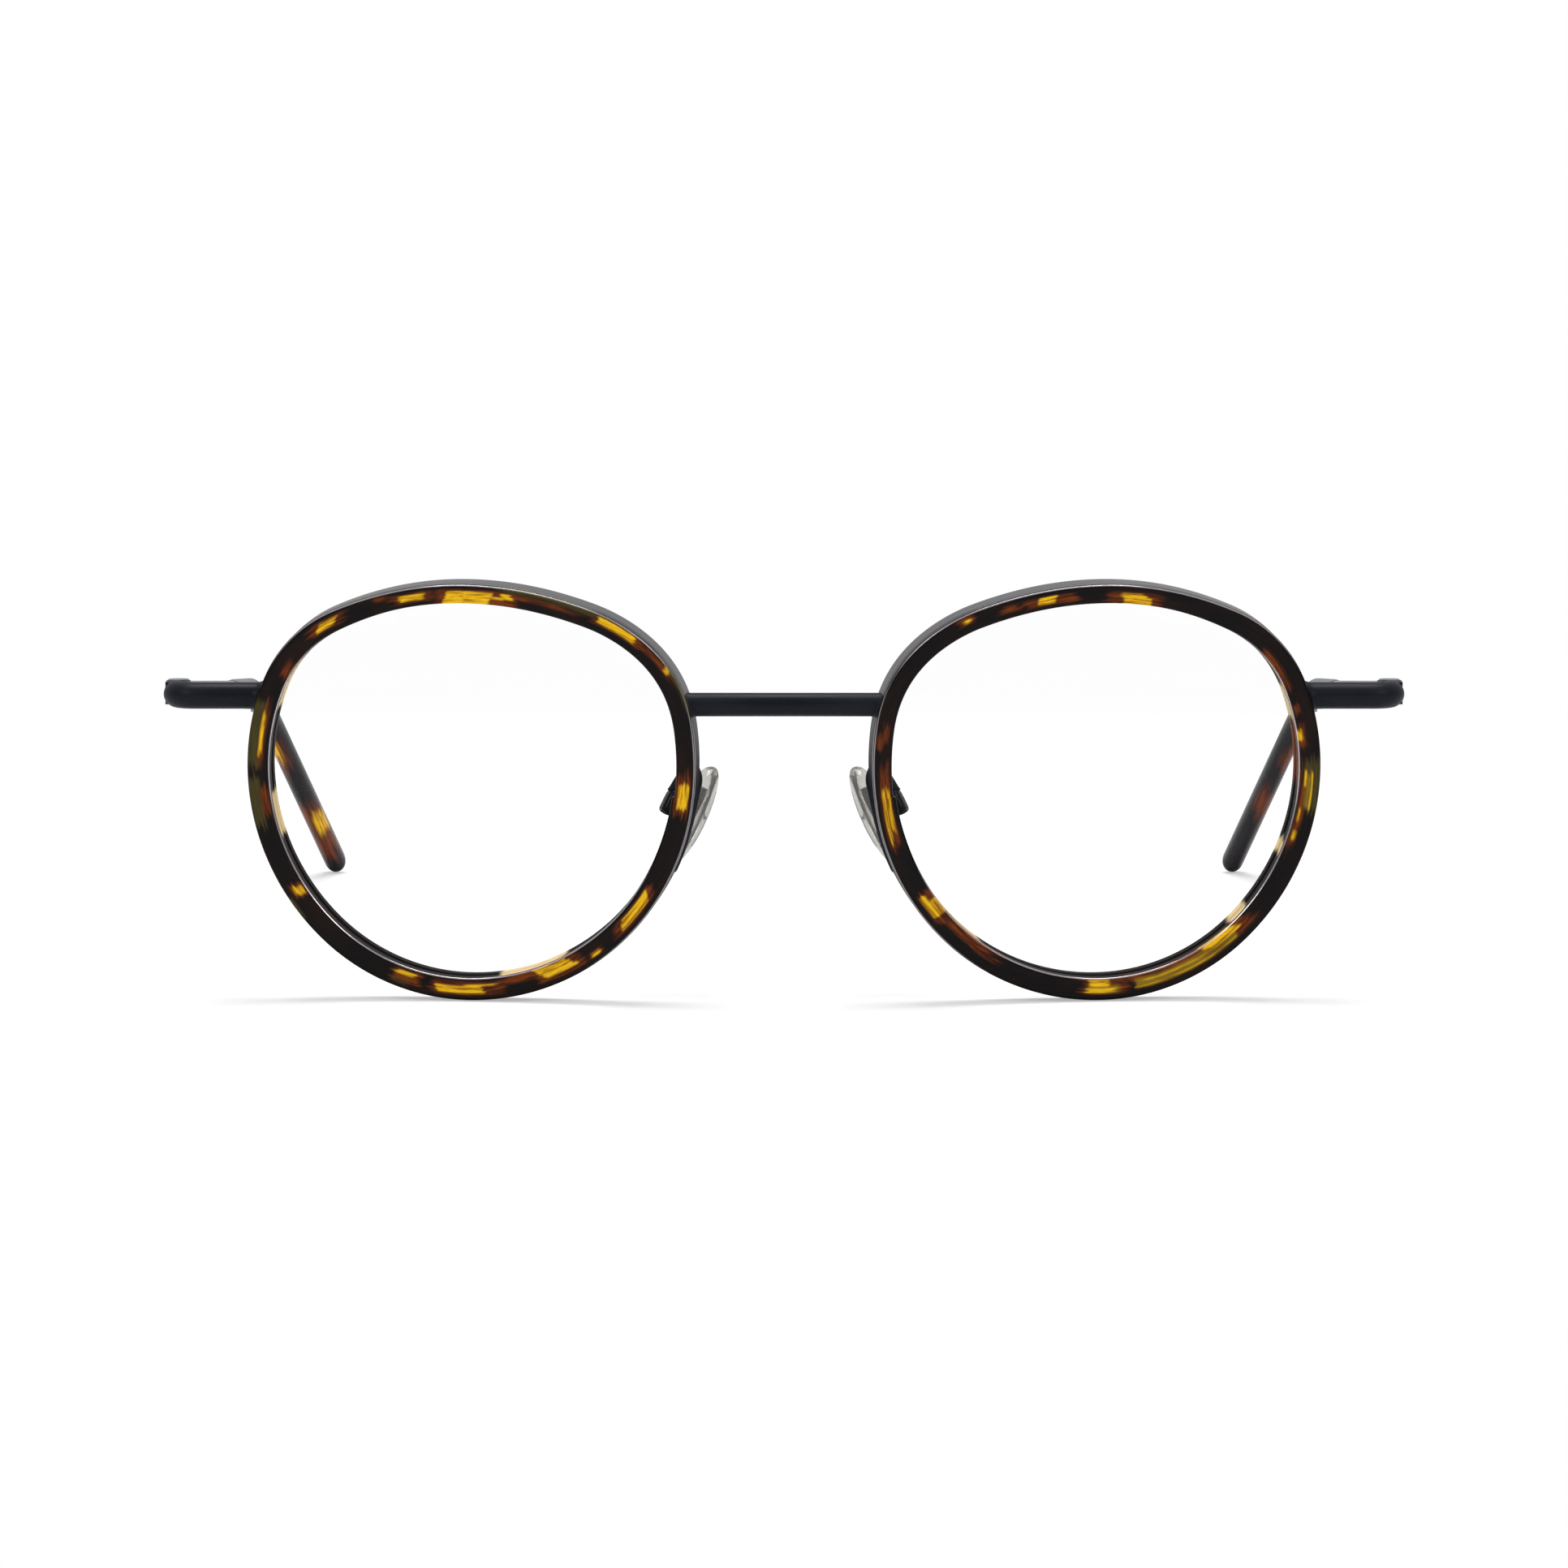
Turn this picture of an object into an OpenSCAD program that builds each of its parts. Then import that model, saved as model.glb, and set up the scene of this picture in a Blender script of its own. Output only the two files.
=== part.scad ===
// Full-rim round glasses: tortoiseshell acetate rings held in metal eyewires, a straight
// bar bridge and straight bar end pieces, folding metal temples with acetate tips, and
// rocking nose pads. The glasses stand open on a table: +Z up, the front faces -Y and the
// temples run back along +Y. Every paired piece is modelled on the +X side and mirrored.

/* [Lenses] */
// Width of a lens at its bevel
lens_w = 47.3; // [42:0.1:54]
// Height of a lens at its bevel
lens_h = 44; // [38:0.2:50]
// Distance between the two lenses
bridge_w = 23; // [19:0.5:27]
// Thickness of a lens
lens_t = 1.6; // [1.2:0.1:2]
// Radius of the lens's front surface
base_curve_r = 118; // [85:1:250]
// Shift of the highest point toward the temple
apex_shift = 0.7; // [0:0.1:2.5]
// Shift of the lowest point toward the temple
nadir_shift = 0.4; // [-0.5:0.1:1]

/* [Rims] */
// Visible width of the acetate ring inside the lens line
ring_lip = 0.45; // [0.3:0.05:0.9]
// Reach of the rim outside the lens line
rim_out = 1.7; // [1.6:0.05:2.4]
// Thickness of the acetate lip in front of the eyewire
lip_t = 1.0; // [0.8:0.1:1.6]
// Depth of the eyewire from front to back
eyewire_d = 3.2; // [2.8:0.1:4]
// Thickness of the eyewire band
eyewire_t = 0.45; // [0.35:0.05:0.6]
// Wrap of each rim, its temple side turned back
wrap = 7; // [0:0.5:10]
// Lean of the front, its top toward the viewer
lean = 5; // [0:0.5:8]

/* [Bars] */
// Diameter of the bridge bar
bridge_d = 2.65; // [2:0.05:3.2]
// Height of the bridge bar above the lens centre
bridge_rise = 10.1; // [6:0.1:13]
// Diameter of the end piece bars
end_piece_d = 3.0; // [2.6:0.05:3.4]
// Height of the end pieces above the lens centre
end_piece_rise = 10.1; // [7:0.1:13]
// Distance between the two hinge axes
hinge_span = 136.8; // [132:0.2:146]
// Centre radius of the end piece elbow
elbow_r = 2.2; // [1.9:0.1:4]
// Straight length behind the elbow
leg_l = 0.6; // [0.2:0.1:3]

/* [Hinges] */
// Height of the hinge's three knuckles together
hinge_h = 2.5; // [2.2:0.1:3.2]
// Radius of a hinge knuckle
knuckle_r = 1.35; // [1.3:0.05:1.8]
// Diameter of the hinge screw
hinge_screw_d = 1.0; // [0.8:0.05:1.2]
// Diameter of the hinge screw's head
hinge_head_d = 2.3; // [1.8:0.05:2.4]

/* [Temples] */
// Diameter of the temple bar
temple_d = 2.4; // [2:0.05:2.8]
// Length from the hinge axis to the start of the bend
straight_l = 95; // [85:1:105]
// Centre radius of the bend behind the ear
bend_r = 28; // [20:1:40]
// Angle of the bend behind the ear
bend_a = 36; // [28:1:45]
// Length of the straight end beyond the bend
drop_l = 30.8; // [24:1:38]
// Turn of the bend toward the head
bend_turn = 19; // [0:0.5:25]
// Convergence of each temple toward the head
temple_in = 1.9; // [0:0.1:5]
// Distance from the hinge axis to the acetate tip
tip_start = 68; // [50:1:80]
// Diameter of the wire inside the acetate tip
core_d = 1.5; // [1.2:0.05:1.7]
// Width of the acetate tip
tip_w = 2.7; // [2.5:0.05:3.4]
// Height of the acetate tip at its far end
tip_h = 3.5; // [3:0.1:5]

/* [Nose pads] */
// Length of a nose pad
pad_l = 12.5; // [11:0.5:15]
// Width of a nose pad
pad_w = 6.5; // [6:0.25:8.5]
// Thickness of a nose pad
pad_t = 2.1; // [1.9:0.1:3]
// How far the pad's screw stands outside the edge of the lens, seen from the front
pad_out = 1; // [0.5:0.1:3]
// Distance of the pad's screw behind the lens centre
pad_y = 11; // [9.5:0.1:13]
// Height of the pad's screw above the table
pad_z = 21.5; // [18:0.1:23]
// Frontal angle of a pad, its top nearer the nose
pad_frontal = 27; // [14:1:32]
// Splay angle of a pad, its rear edge further out
pad_splay = 16; // [8:1:36]
// Diameter of the pad arm wire
arm_d = 1.1; // [0.9:0.05:1.3]
// Diameter of the pad screw
pad_screw_d = 0.8; // [0.7:0.05:0.9]

/* [Fits] */
// Gap between pieces that seat in each other
seat_gap = 0.05; // [0.03:0.01:0.08]
// Radial play of a screw in its hole
screw_fit = 0.04; // [0.02:0.01:0.06]
// Play on each side of a hinge leaf
leaf_gap = 0.05; // [0.03:0.01:0.1]

/* [Hidden] */
$fn = 48;
eps = 0.01;

metal = [0.14, 0.15, 0.19];
steel = [0.30, 0.31, 0.34];
shell = [0.33, 0.17, 0.09];
clear = [0.82, 0.88, 0.90];
silicone = [0.72, 0.74, 0.75];

// ---- Lens outline -------------------------------------------------------------------
// Each half of the outline, from the highest to the lowest point, is four arcs that run
// into each other smoothly: crown, upper corner, side and lower. The turns say where one
// arc hands over to the next, and the crown's radius exceeds the corner's by crown_step.
outer_turns = [66, 20, -46];
inner_turns = [69, 12, -40];
crown_step = 22;
arc_steps = [4, 8, 10, 8];

function dir(a) = [cos(a), sin(a)];

// Arcs [centre, radius, first angle, last angle] of one half, in its own plane with the
// highest point above the origin; w is its half width and drift moves the lowest point.
function half_arcs(w, drift, turns) = let (
    a = crown_step, pt = turns[0], ps = turns[1], pb = 90 + turns[2],
    m11 = cos(ps), m12 = sin(pb), m21 = 1 - sin(ps), m22 = 2 * sin(pb) - 1 + cos(pb),
    k1 = drift - a * cos(pt), k2 = lens_h - 2 * (w - drift) - a * (1 - sin(pt)),
    det = m11 * m22 - m12 * m21,
    b = (k1 * m22 - k2 * m12) / det, c = (m11 * k2 - m21 * k1) / det,
    r_side = w - drift + c * sin(pb),
    c_crown = [0, lens_h / 2 - (r_side + a + b)],
    c_corner = c_crown + a * dir(pt),
    c_side = c_corner + b * dir(ps),
    c_low = c_side + c * dir(turns[2])
) [
    [c_crown, r_side + a + b, 90, pt],
    [c_corner, r_side + b, pt, ps],
    [c_side, r_side, ps, turns[2]],
    [c_low, r_side - c, turns[2], -90]
];

outer_arcs = half_arcs(lens_w / 2 - apex_shift, nadir_shift - apex_shift, outer_turns);
inner_arcs = half_arcs(lens_w / 2 + apex_shift, apex_shift - nadir_shift, inner_turns);

// Stations [centre, radius, angle] once round the outline, clockwise from its highest point
outer_stations = [
    for (i = [0:3]) for (j = [0:arc_steps[i] - 1]) let (arc = outer_arcs[i])
        [arc[0] + [apex_shift, 0], arc[1], arc[2] + (arc[3] - arc[2]) * j / arc_steps[i]]
];
inner_stations = [
    for (i = [3:-1:0]) for (j = [arc_steps[i]:-1:1]) let (arc = inner_arcs[i])
        [[apex_shift - arc[0].x, arc[0].y], arc[1],
            180 - arc[2] - (arc[3] - arc[2]) * j / arc_steps[i]]
];
stations = concat(outer_stations, inner_stations);

function sag(p) = base_curve_r - sqrt(base_curve_r * base_curve_r - p.x * p.x - p.y * p.y);

// Point of a station at offset r outside the lens line and depth n behind the ring's front
function rim_point(st, r, n) = let (
    line = st[0] + st[1] * dir(st[2]), p = line + r * dir(st[2])
) [p.x, p.y, n + sag(line)];

// ---- Rim frame ------------------------------------------------------------------------
rim_d = lip_t + eyewire_d;
lip_chamfer = 0.35;
groove_n = lip_t + 0.9;
bevel_n = groove_n + sag([lens_w / 2, 0]);
pad_x = bridge_w / 2 + pad_out;
rim_cx = bridge_w / 2 + lens_w / 2 * cos(wrap) + bevel_n * sin(wrap);

function turned(p) = let (
    x = p.x * cos(wrap) - p.z * sin(wrap), y = p.x * sin(wrap) + p.z * cos(wrap)
) [rim_cx + x, y * cos(lean) - p.y * sin(lean), y * sin(lean) + p.y * cos(lean)];

rim_cz = -min([for (st = stations) for (n = [lip_chamfer, rim_d])
    turned(rim_point(st, rim_out, n)).z]);

function to_world(p) = turned(p) + [0, 0, rim_cz];

module in_rim() {
    translate([rim_cx, 0, rim_cz]) rotate([lean, 0, 0]) rotate([0, 0, wrap]) children();
}

module mirrored() {
    mirror([1, 0, 0]) children();
}

// ---- Skins ----------------------------------------------------------------------------
function sum(v, i = 0) = i == len(v) - 1 ? v[i] : v[i] + sum(v, i + 1);
function middle(ring) = sum(ring) / len(ring);

// Closed skin over rings of equal point count; the last ring joins the first when looped,
// and otherwise each end is closed to the middle of its ring.
module skin(rings, looped = false) {
    sides = len(rings[0]);
    count = len(rings);
    body_points = [for (ring = rings) for (p = ring) p];
    ends = looped ? [] : [middle(rings[0]), middle(rings[count - 1])];
    walls = [
        for (i = [0:count - (looped ? 1 : 2)]) for (j = [0:sides - 1]) let (
            a = i * sides, b = ((i + 1) % count) * sides, k = (j + 1) % sides
        ) each [[a + j, b + j, b + k], [a + j, b + k, a + k]]
    ];
    first = count * sides;
    caps = looped ? [] : [
        for (j = [0:sides - 1]) let (k = (j + 1) % sides, last = (count - 1) * sides)
            each [[first, j, k], [first + 1, last + k, last + j]]
    ];
    polyhedron(concat(body_points, ends), concat(walls, caps), convexity = 6);
}

// ---- Rim section ----------------------------------------------------------------------
bevel_h = 0.55;
tongue_n = lip_t + eyewire_d / 2 - 0.1;
tongue_w = 0.8;
tongue_h = 0.35;
tongue_slope = 0.2;
ring_d = rim_d - 0.4;
band_in = rim_out - eyewire_t;
seat_out = band_in - seat_gap;

// Acetate ring: [offset, depth] points, round from the inner edge of the front
ring_section = [
    [-ring_lip, lip_chamfer], [lip_chamfer - ring_lip, 0],
    [rim_out - lip_chamfer, 0], [rim_out, lip_chamfer], [rim_out, lip_t - seat_gap],
    [seat_out, lip_t - seat_gap], [seat_out, tongue_n - tongue_w / 2 - seat_gap],
    [seat_out - tongue_h, tongue_n - tongue_w / 2 + tongue_slope - seat_gap],
    [seat_out - tongue_h, tongue_n + tongue_w / 2 - tongue_slope + seat_gap],
    [seat_out, tongue_n + tongue_w / 2 + seat_gap], [seat_out, ring_d],
    [-ring_lip, ring_d], [-ring_lip, groove_n + bevel_h],
    [seat_gap, groove_n], [-ring_lip, groove_n - bevel_h]
];

// Eyewire band with the tongue that holds the ring
eyewire_section = [
    [band_in, lip_t], [rim_out, lip_t], [rim_out, rim_d], [band_in, rim_d],
    [band_in, tongue_n + tongue_w / 2],
    [band_in - tongue_h, tongue_n + tongue_w / 2 - tongue_slope],
    [band_in - tongue_h, tongue_n - tongue_w / 2 + tongue_slope],
    [band_in, tongue_n - tongue_w / 2]
];

function section_at(st, section) = [for (s = section) to_world(rim_point(st, s[0], s[1]))];

// ---- Places on the rim ------------------------------------------------------------------
bar_n = lip_t + eyewire_d / 2;

// The split in the eyewire, behind the end piece, lies a little below the bar's middle
lock_drop = 0.6;

// Station [centre, radius, angle] of a half where the rim's outer wall has height v
function wall_st(arcs, v) = [
    for (arc = arcs) let (share = (v - arc[0].y) / (arc[1] + rim_out))
        if (abs(share) <= 1) let (a = asin(share))
            if (a <= arc[2] + eps && a >= arc[3] - eps) [arc[0], arc[1], a]
][0];
function on_temple_side(st) = [st[0] + [apex_shift, 0], st[1], st[2]];
function on_nose_side(st) = [[apex_shift - st[0].x, st[0].y], st[1], 180 - st[2]];

end_st = on_temple_side(wall_st(outer_arcs, end_piece_rise));
lock_st = on_temple_side(wall_st(outer_arcs, end_piece_rise - lock_drop));
bridge_st = on_nose_side(wall_st(inner_arcs, bridge_rise));
end_root = to_world(rim_point(end_st, rim_out, bar_n));
bridge_root = to_world(rim_point(bridge_st, rim_out, bar_n));

// Station on the inner side of the outline at height v of its line
function inner_side_st(v) = [
    [apex_shift - inner_arcs[2][0].x, inner_arcs[2][0].y], inner_arcs[2][1],
    180 - asin((v - inner_arcs[2][0].y) / inner_arcs[2][1])
];

// Stations where the lower and the upper edge of a bar meet the wall, one if on one arc
function bar_seat(low, high) = low[1] == high[1] ? [low] : [low, high];
end_seat = let (r = end_piece_d / 2) bar_seat(
    on_temple_side(wall_st(outer_arcs, end_piece_rise - r)),
    on_temple_side(wall_st(outer_arcs, end_piece_rise + r)));
bridge_seat = let (r = bridge_d / 2) bar_seat(
    on_nose_side(wall_st(inner_arcs, bridge_rise - r)),
    on_nose_side(wall_st(inner_arcs, bridge_rise + r)));

// Round cutter that gives a bar its saddle on the rim's outer wall
module saddle_cutter(seat) {
    cutter_l = 24;
    for (st = seat) in_rim() translate([st[0].x, cutter_l / 2, st[0].y])
        rotate([90, 0, 0])
            cylinder(r = st[1] + rim_out + seat_gap / 2, h = cutter_l, $fn = 96);
}

// ---- Rims and lenses --------------------------------------------------------------------
module rim_ring() {
    color(shell) skin([for (st = stations) section_at(st, ring_section)], looped = true);
}

// The eyewire is one band, split behind the end piece
split_w = 0.12;
split_turn = split_w / (lock_st[1] + rim_out) * 90 / PI;
clear_turn = 3 * split_turn;

function split_end(turn) = [lock_st[0], lock_st[1], lock_st[2] + turn];

module eyewire() {
    after = [for (st = outer_stations) if (st[2] < lock_st[2] - clear_turn) st];
    before = [for (st = outer_stations) if (st[2] > lock_st[2] + clear_turn) st];
    run = concat([split_end(-split_turn)], after, inner_stations, before,
        [split_end(split_turn)]);
    color(metal) skin([for (st = run) section_at(st, eyewire_section)]);
}

lens_front_n = groove_n - lens_t / 2;
lens_rows = [0.5, 0.85];

function lens_row(f, n) = [
    for (st = stations) let (p = f * (st[0] + (st[1] - ring_lip) * dir(st[2])))
        to_world([p.x, p.y, n + sag(p)])
];
function lens_edge(r, n) = [for (st = stations) to_world(rim_point(st, r, n))];

module lens() {
    back_n = lens_front_n + lens_t;
    edge_r = -ring_lip - seat_gap;
    color(clear, 0.35) skin(concat(
        [for (f = lens_rows) lens_row(f, lens_front_n)],
        [lens_edge(edge_r, lens_front_n), lens_edge(edge_r, groove_n - bevel_h + seat_gap),
            lens_edge(-seat_gap, groove_n), lens_edge(edge_r, groove_n + bevel_h - seat_gap),
            lens_edge(edge_r, back_n)],
        [for (i = [len(lens_rows) - 1:-1:0]) lens_row(lens_rows[i], back_n)]
    ));
}

// ---- Bridge and end pieces ----------------------------------------------------------------
module bridge_bar() {
    color(metal) difference() {
        translate([-rim_cx / 2, bridge_root.y, bridge_root.z]) rotate([0, 90, 0])
            cylinder(d = bridge_d, h = rim_cx);
        saddle_cutter(bridge_seat);
        mirrored() saddle_cutter(bridge_seat);
    }
}

hinge_x = hinge_span / 2;
hinge_z = end_root.z;
block_l = 1.0;
web_y = knuckle_r + 0.35;
block_y = web_y + block_l;
hinge_y = end_root.y + elbow_r + leg_l + block_y;

module end_piece() {
    inside = 4;
    color(metal) difference() {
        union() {
            translate([end_root.x - inside, end_root.y, hinge_z]) rotate([0, 90, 0])
                cylinder(d = end_piece_d, h = hinge_x - elbow_r - end_root.x + inside);
            translate([hinge_x - elbow_r, end_root.y + elbow_r, hinge_z])
                rotate([0, 0, -90]) rotate_extrude(angle = 90)
                    translate([elbow_r, 0]) circle(d = end_piece_d);
            translate([hinge_x, end_root.y + elbow_r, hinge_z]) rotate([-90, 0, 0])
                cylinder(d = end_piece_d, h = leg_l);
        }
        saddle_cutter(end_seat);
        lock_relief();
    }
}

// ---- Rim lock -------------------------------------------------------------------------------
// Two half blocks on the eyewire's rear edge, one on each side of its split, and a screw
lock_l = 2.6;
lock_d = 1.8;
lock_h = 1.2;
lock_screw_d = 0.8;
lock_head_d = 1.4;
lock_head_h = 0.4;
lock_in = 0.7;
lock_room = 0.05;
lock_wall = rim_point(lock_st, rim_out, rim_d);

module in_lock() {
    in_rim() translate([lock_wall.x - lock_in, lock_wall.z + seat_gap / 2, lock_wall.y])
        children();
}

// Room that the end piece leaves round the lock and its screw
module lock_relief() {
    half = split_w / 2 + lock_h;
    in_lock() translate([-lock_room, -lock_room, -half - lock_head_h - lock_room])
        cube([lock_l, lock_d, 2 * half + lock_head_h] + 2 * lock_room * [1, 1, 1]);
}

module rim_lock() {
    color(metal) in_lock() for (up = [0, 1]) mirror([0, 0, up]) difference() {
        translate([0, 0, split_w / 2]) cube([lock_l, lock_d, lock_h]);
        translate([lock_l / 2, lock_d / 2, -eps])
            cylinder(d = lock_screw_d + 2 * screw_fit, h = lock_h + split_w);
    }
}

module rim_lock_screw() {
    top = split_w / 2 + lock_h;
    color(steel) in_lock() translate([lock_l / 2, lock_d / 2, 0]) difference() {
        union() {
            translate([0, 0, -top]) cylinder(d = lock_screw_d, h = 2 * top + eps);
            translate([0, 0, -top - lock_head_h]) cylinder(d = lock_head_d, h = lock_head_h);
        }
        translate([-lock_head_d, -slot_w / 2, -top - lock_head_h - eps])
            cube([2 * lock_head_d, slot_w, slot_d + eps]);
    }
}

// ---- Hinge ------------------------------------------------------------------------------------
tongue_t = (hinge_h - 4 * leaf_gap) / 3;
leaf_z = tongue_t / 2 + leaf_gap;
head_sink = 0.2;
head_h = 0.35;
slot_w = 0.3;
slot_d = 0.18;
tongue_l = 2.6;
tongue_x = temple_d - 0.5;

module at_hinge() {
    translate([hinge_x, hinge_y, hinge_z]) children();
}

// Upper and lower knuckle with the web that joins them, brazed to the end piece
module front_knuckles() {
    color(metal) at_hinge() difference() {
        union() {
            translate([0, 0, -hinge_h / 2]) cylinder(r = knuckle_r, h = hinge_h);
            translate([-knuckle_r, -block_y, -hinge_h / 2])
                cube([2 * knuckle_r, block_y, hinge_h]);
        }
        translate([-2 * knuckle_r, -web_y, -leaf_z])
            cube([4 * knuckle_r, 2 * web_y, 2 * leaf_z]);
        translate([0, 0, -hinge_h])
            cylinder(d = hinge_screw_d + 2 * screw_fit, h = 2 * hinge_h);
        translate([0, 0, hinge_h / 2 - head_sink])
            cylinder(d = hinge_head_d + 2 * screw_fit, h = hinge_h);
    }
}

module hinge_screw() {
    seat = hinge_h / 2 - head_sink;
    color(steel) at_hinge() difference() {
        union() {
            translate([0, 0, -hinge_h / 2]) cylinder(d = hinge_screw_d, h = seat + hinge_h / 2);
            translate([0, 0, seat]) cylinder(d = hinge_head_d, h = head_h);
        }
        translate([-hinge_head_d, -slot_w / 2, seat + head_h - slot_d])
            cube([2 * hinge_head_d, slot_w, slot_d + eps]);
    }
}

// Middle knuckle: its square heel rests on the web when the temple is open
module knuckle_outline() {
    circle(r = knuckle_r);
    translate([0, -web_y + seat_gap]) square([knuckle_r, web_y - seat_gap]);
    translate([-tongue_x / 2, 0]) square([tongue_x, knuckle_r + tongue_l]);
}

module temple_knuckle() {
    color(metal) at_hinge() difference() {
        translate([0, 0, -tongue_t / 2]) linear_extrude(tongue_t) knuckle_outline();
        translate([0, 0, -tongue_t])
            cylinder(d = hinge_screw_d + 2 * screw_fit, h = 2 * tongue_t);
    }
}

// ---- Temple ---------------------------------------------------------------------------------
// The temple's line lies in one plane: straight, an arc, and straight again. The slope
// brings the tip's round end down to the table.
round_l = drop_l - tip_h / 2;
end_p = straight_l + bend_r * sin(bend_a) + round_l * cos(bend_a);
end_q = bend_r * (1 - cos(bend_a)) + round_l * sin(bend_a);
fall = end_q * cos(bend_turn);
tip_reach = norm([tip_h * cos(bend_turn), tip_w * sin(bend_turn)]) / 2;
slope = asin((hinge_z - tip_reach) / norm([end_p, fall])) - atan2(fall, end_p);
bar_start = knuckle_r + 0.55;

// Temple frame: X along the temple, -Z the way it bends
module in_temple() {
    at_hinge() rotate([0, 0, 90 + temple_in]) rotate([0, slope, 0])
        rotate([bend_turn, 0, 0]) children();
}

core_short = 6;
tip_bury = 2;

module temple_bar() {
    color(metal) difference() {
        in_temple() union() {
            translate([bar_start, 0, 0]) rotate([0, 90, 0])
                cylinder(d = temple_d, h = tip_start - bar_start);
            skin([for (s = core_runs) oval(s, core_d, core_d)]);
        }
        at_hinge() translate([-tongue_x / 2 - seat_gap / 2, 0, -tongue_t / 2 - seat_gap / 2])
            cube([tongue_x + seat_gap, knuckle_r + tongue_l + seat_gap, tongue_t + seat_gap]);
    }
}

// Point of the temple's line at run s and its downward normal, in the temple frame
bend_end = straight_l + bend_r * bend_a * PI / 180;
function heading(s) = s < straight_l ? 0 : min(bend_a, (s - straight_l) / bend_r * 180 / PI);
function line_at(s) = let (h = heading(s), on = max(0, s - bend_end))
    [min(s, straight_l) + bend_r * sin(h) + on * cos(h), 0,
        -bend_r * (1 - cos(h)) - on * sin(h)];

tip_sides = 12;
function oval(s, w, h) = let (at = line_at(s), hd = heading(s)) [
    for (i = [0:tip_sides - 1]) let (
        a = 360 * i / tip_sides, y = w / 2 * cos(a), z = h / 2 * sin(a)
    ) at + [z * sin(hd), y, z * cos(hd)]
];

tip_end = bend_end + drop_l;
tip_mouth = tip_start + seat_gap;
bore_end = tip_end - core_short + seat_gap;
bore_d = core_d + 2 * seat_gap;
// A polygon drawn round the bore has its corners this much further out
bore_grow = 1 / cos(180 / tip_sides);
function bend_runs(count) = [for (i = [0:count]) straight_l + (bend_end - straight_l) * i / count];
bore_runs = concat([bore_end], [for (i = [6:-1:0]) bend_runs(6)[i]], [tip_mouth]);
core_runs = concat([tip_start - tip_bury], bend_runs(6), [tip_end - core_short]);
skin_runs = concat([for (i = [0:3]) tip_mouth + 1 + (straight_l - tip_mouth - 1) * i / 4],
    bend_runs(8), [for (i = [1:3]) bend_end + (drop_l - tip_h / 2) * i / 3]);

// Height of the tip grows from the bar's diameter to its full height
function tip_height(s) = tip_w + (tip_h - tip_w) * (s - tip_start) / (tip_end - tip_start);

module temple_tip() {
    nose = [for (a = [25, 50, 72, 88])
        oval(tip_end - tip_h / 2 + tip_h / 2 * sin(a), tip_w * cos(a), tip_h * cos(a))];
    color(shell) in_temple() skin(concat(
        [for (s = bore_runs) oval(s, bore_d * bore_grow, bore_d * bore_grow)],
        [oval(tip_mouth, tip_w - 0.5, tip_w - 0.5), oval(tip_mouth + 0.3, tip_w, tip_w)],
        [for (s = skin_runs) oval(s, tip_w, tip_height(s))],
        nose
    ));
}

// ---- Nose pads ------------------------------------------------------------------------------
module in_pad() {
    translate([pad_x, pad_y, pad_z]) rotate([0, 0, -pad_splay]) rotate([0, -pad_frontal, 0])
        children();
}

function pad_to_world(p) = let (
    x = p.x * cos(pad_frontal) - p.z * sin(pad_frontal),
    z = p.x * sin(pad_frontal) + p.z * cos(pad_frontal)
) [pad_x + x * cos(pad_splay) + p.y * sin(pad_splay),
    pad_y - x * sin(pad_splay) + p.y * cos(pad_splay), pad_z + z];

cheek_t = 0.5;
lug_t = 1.2;
lug_r = 0.75;
box_h = 2.8;
box_back = 0.3;
box_x = lug_r + 0.15;
box_front = 0.8;
box_in = lug_t / 2 + leaf_gap;
box_out = box_in + cheek_t;
pad_head_d = 1.3;
pad_head_h = 0.35;

// Open box on the arm's end: two cheeks and a back
module pad_box() {
    color(metal) in_pad() difference() {
        translate([-box_front, -box_out, -box_h / 2])
            cube([box_front + box_x + box_back, 2 * box_out, box_h]);
        translate([-box_front - eps, -box_in, -box_h])
            cube([box_front + box_x + eps, 2 * box_in, 2 * box_h]);
        rotate([90, 0, 0])
            cylinder(d = pad_screw_d + 2 * screw_fit, h = 4 * box_out, center = true);
    }
}

module pad_screw() {
    color(steel) in_pad() difference() {
        union() {
            translate([0, -box_out, 0]) rotate([-90, 0, 0])
                cylinder(d = pad_screw_d, h = 2 * box_out);
            translate([0, box_out, 0]) rotate([-90, 0, 0])
                cylinder(d = pad_head_d, h = pad_head_h);
        }
        translate([-pad_head_d, box_out + pad_head_h - slot_d, -slot_w / 2])
            cube([2 * pad_head_d, slot_d + eps, slot_w]);
    }
}

// Pad body, nearest face this far from the screw
pad_off = 1.35;
plate_t = 0.5;
plate_w = 2.4;
plate_l = 6;
plate_x = pad_off + 0.75;

// Metal insert: the lug on the screw and the plate moulded into the pad
module pad_insert() {
    color(steel) in_pad() difference() {
        union() {
            rotate([90, 0, 0]) cylinder(r = lug_r, h = lug_t, center = true);
            translate([-plate_x, -lug_t / 2, -lug_r]) cube([plate_x, lug_t, 2 * lug_r]);
            translate([-plate_x - plate_t, -plate_w / 2, -plate_l / 2])
                cube([plate_t, plate_w, plate_l]);
        }
        rotate([90, 0, 0])
            cylinder(d = pad_screw_d + 2 * screw_fit, h = 2 * lug_t, center = true);
    }
}

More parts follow.
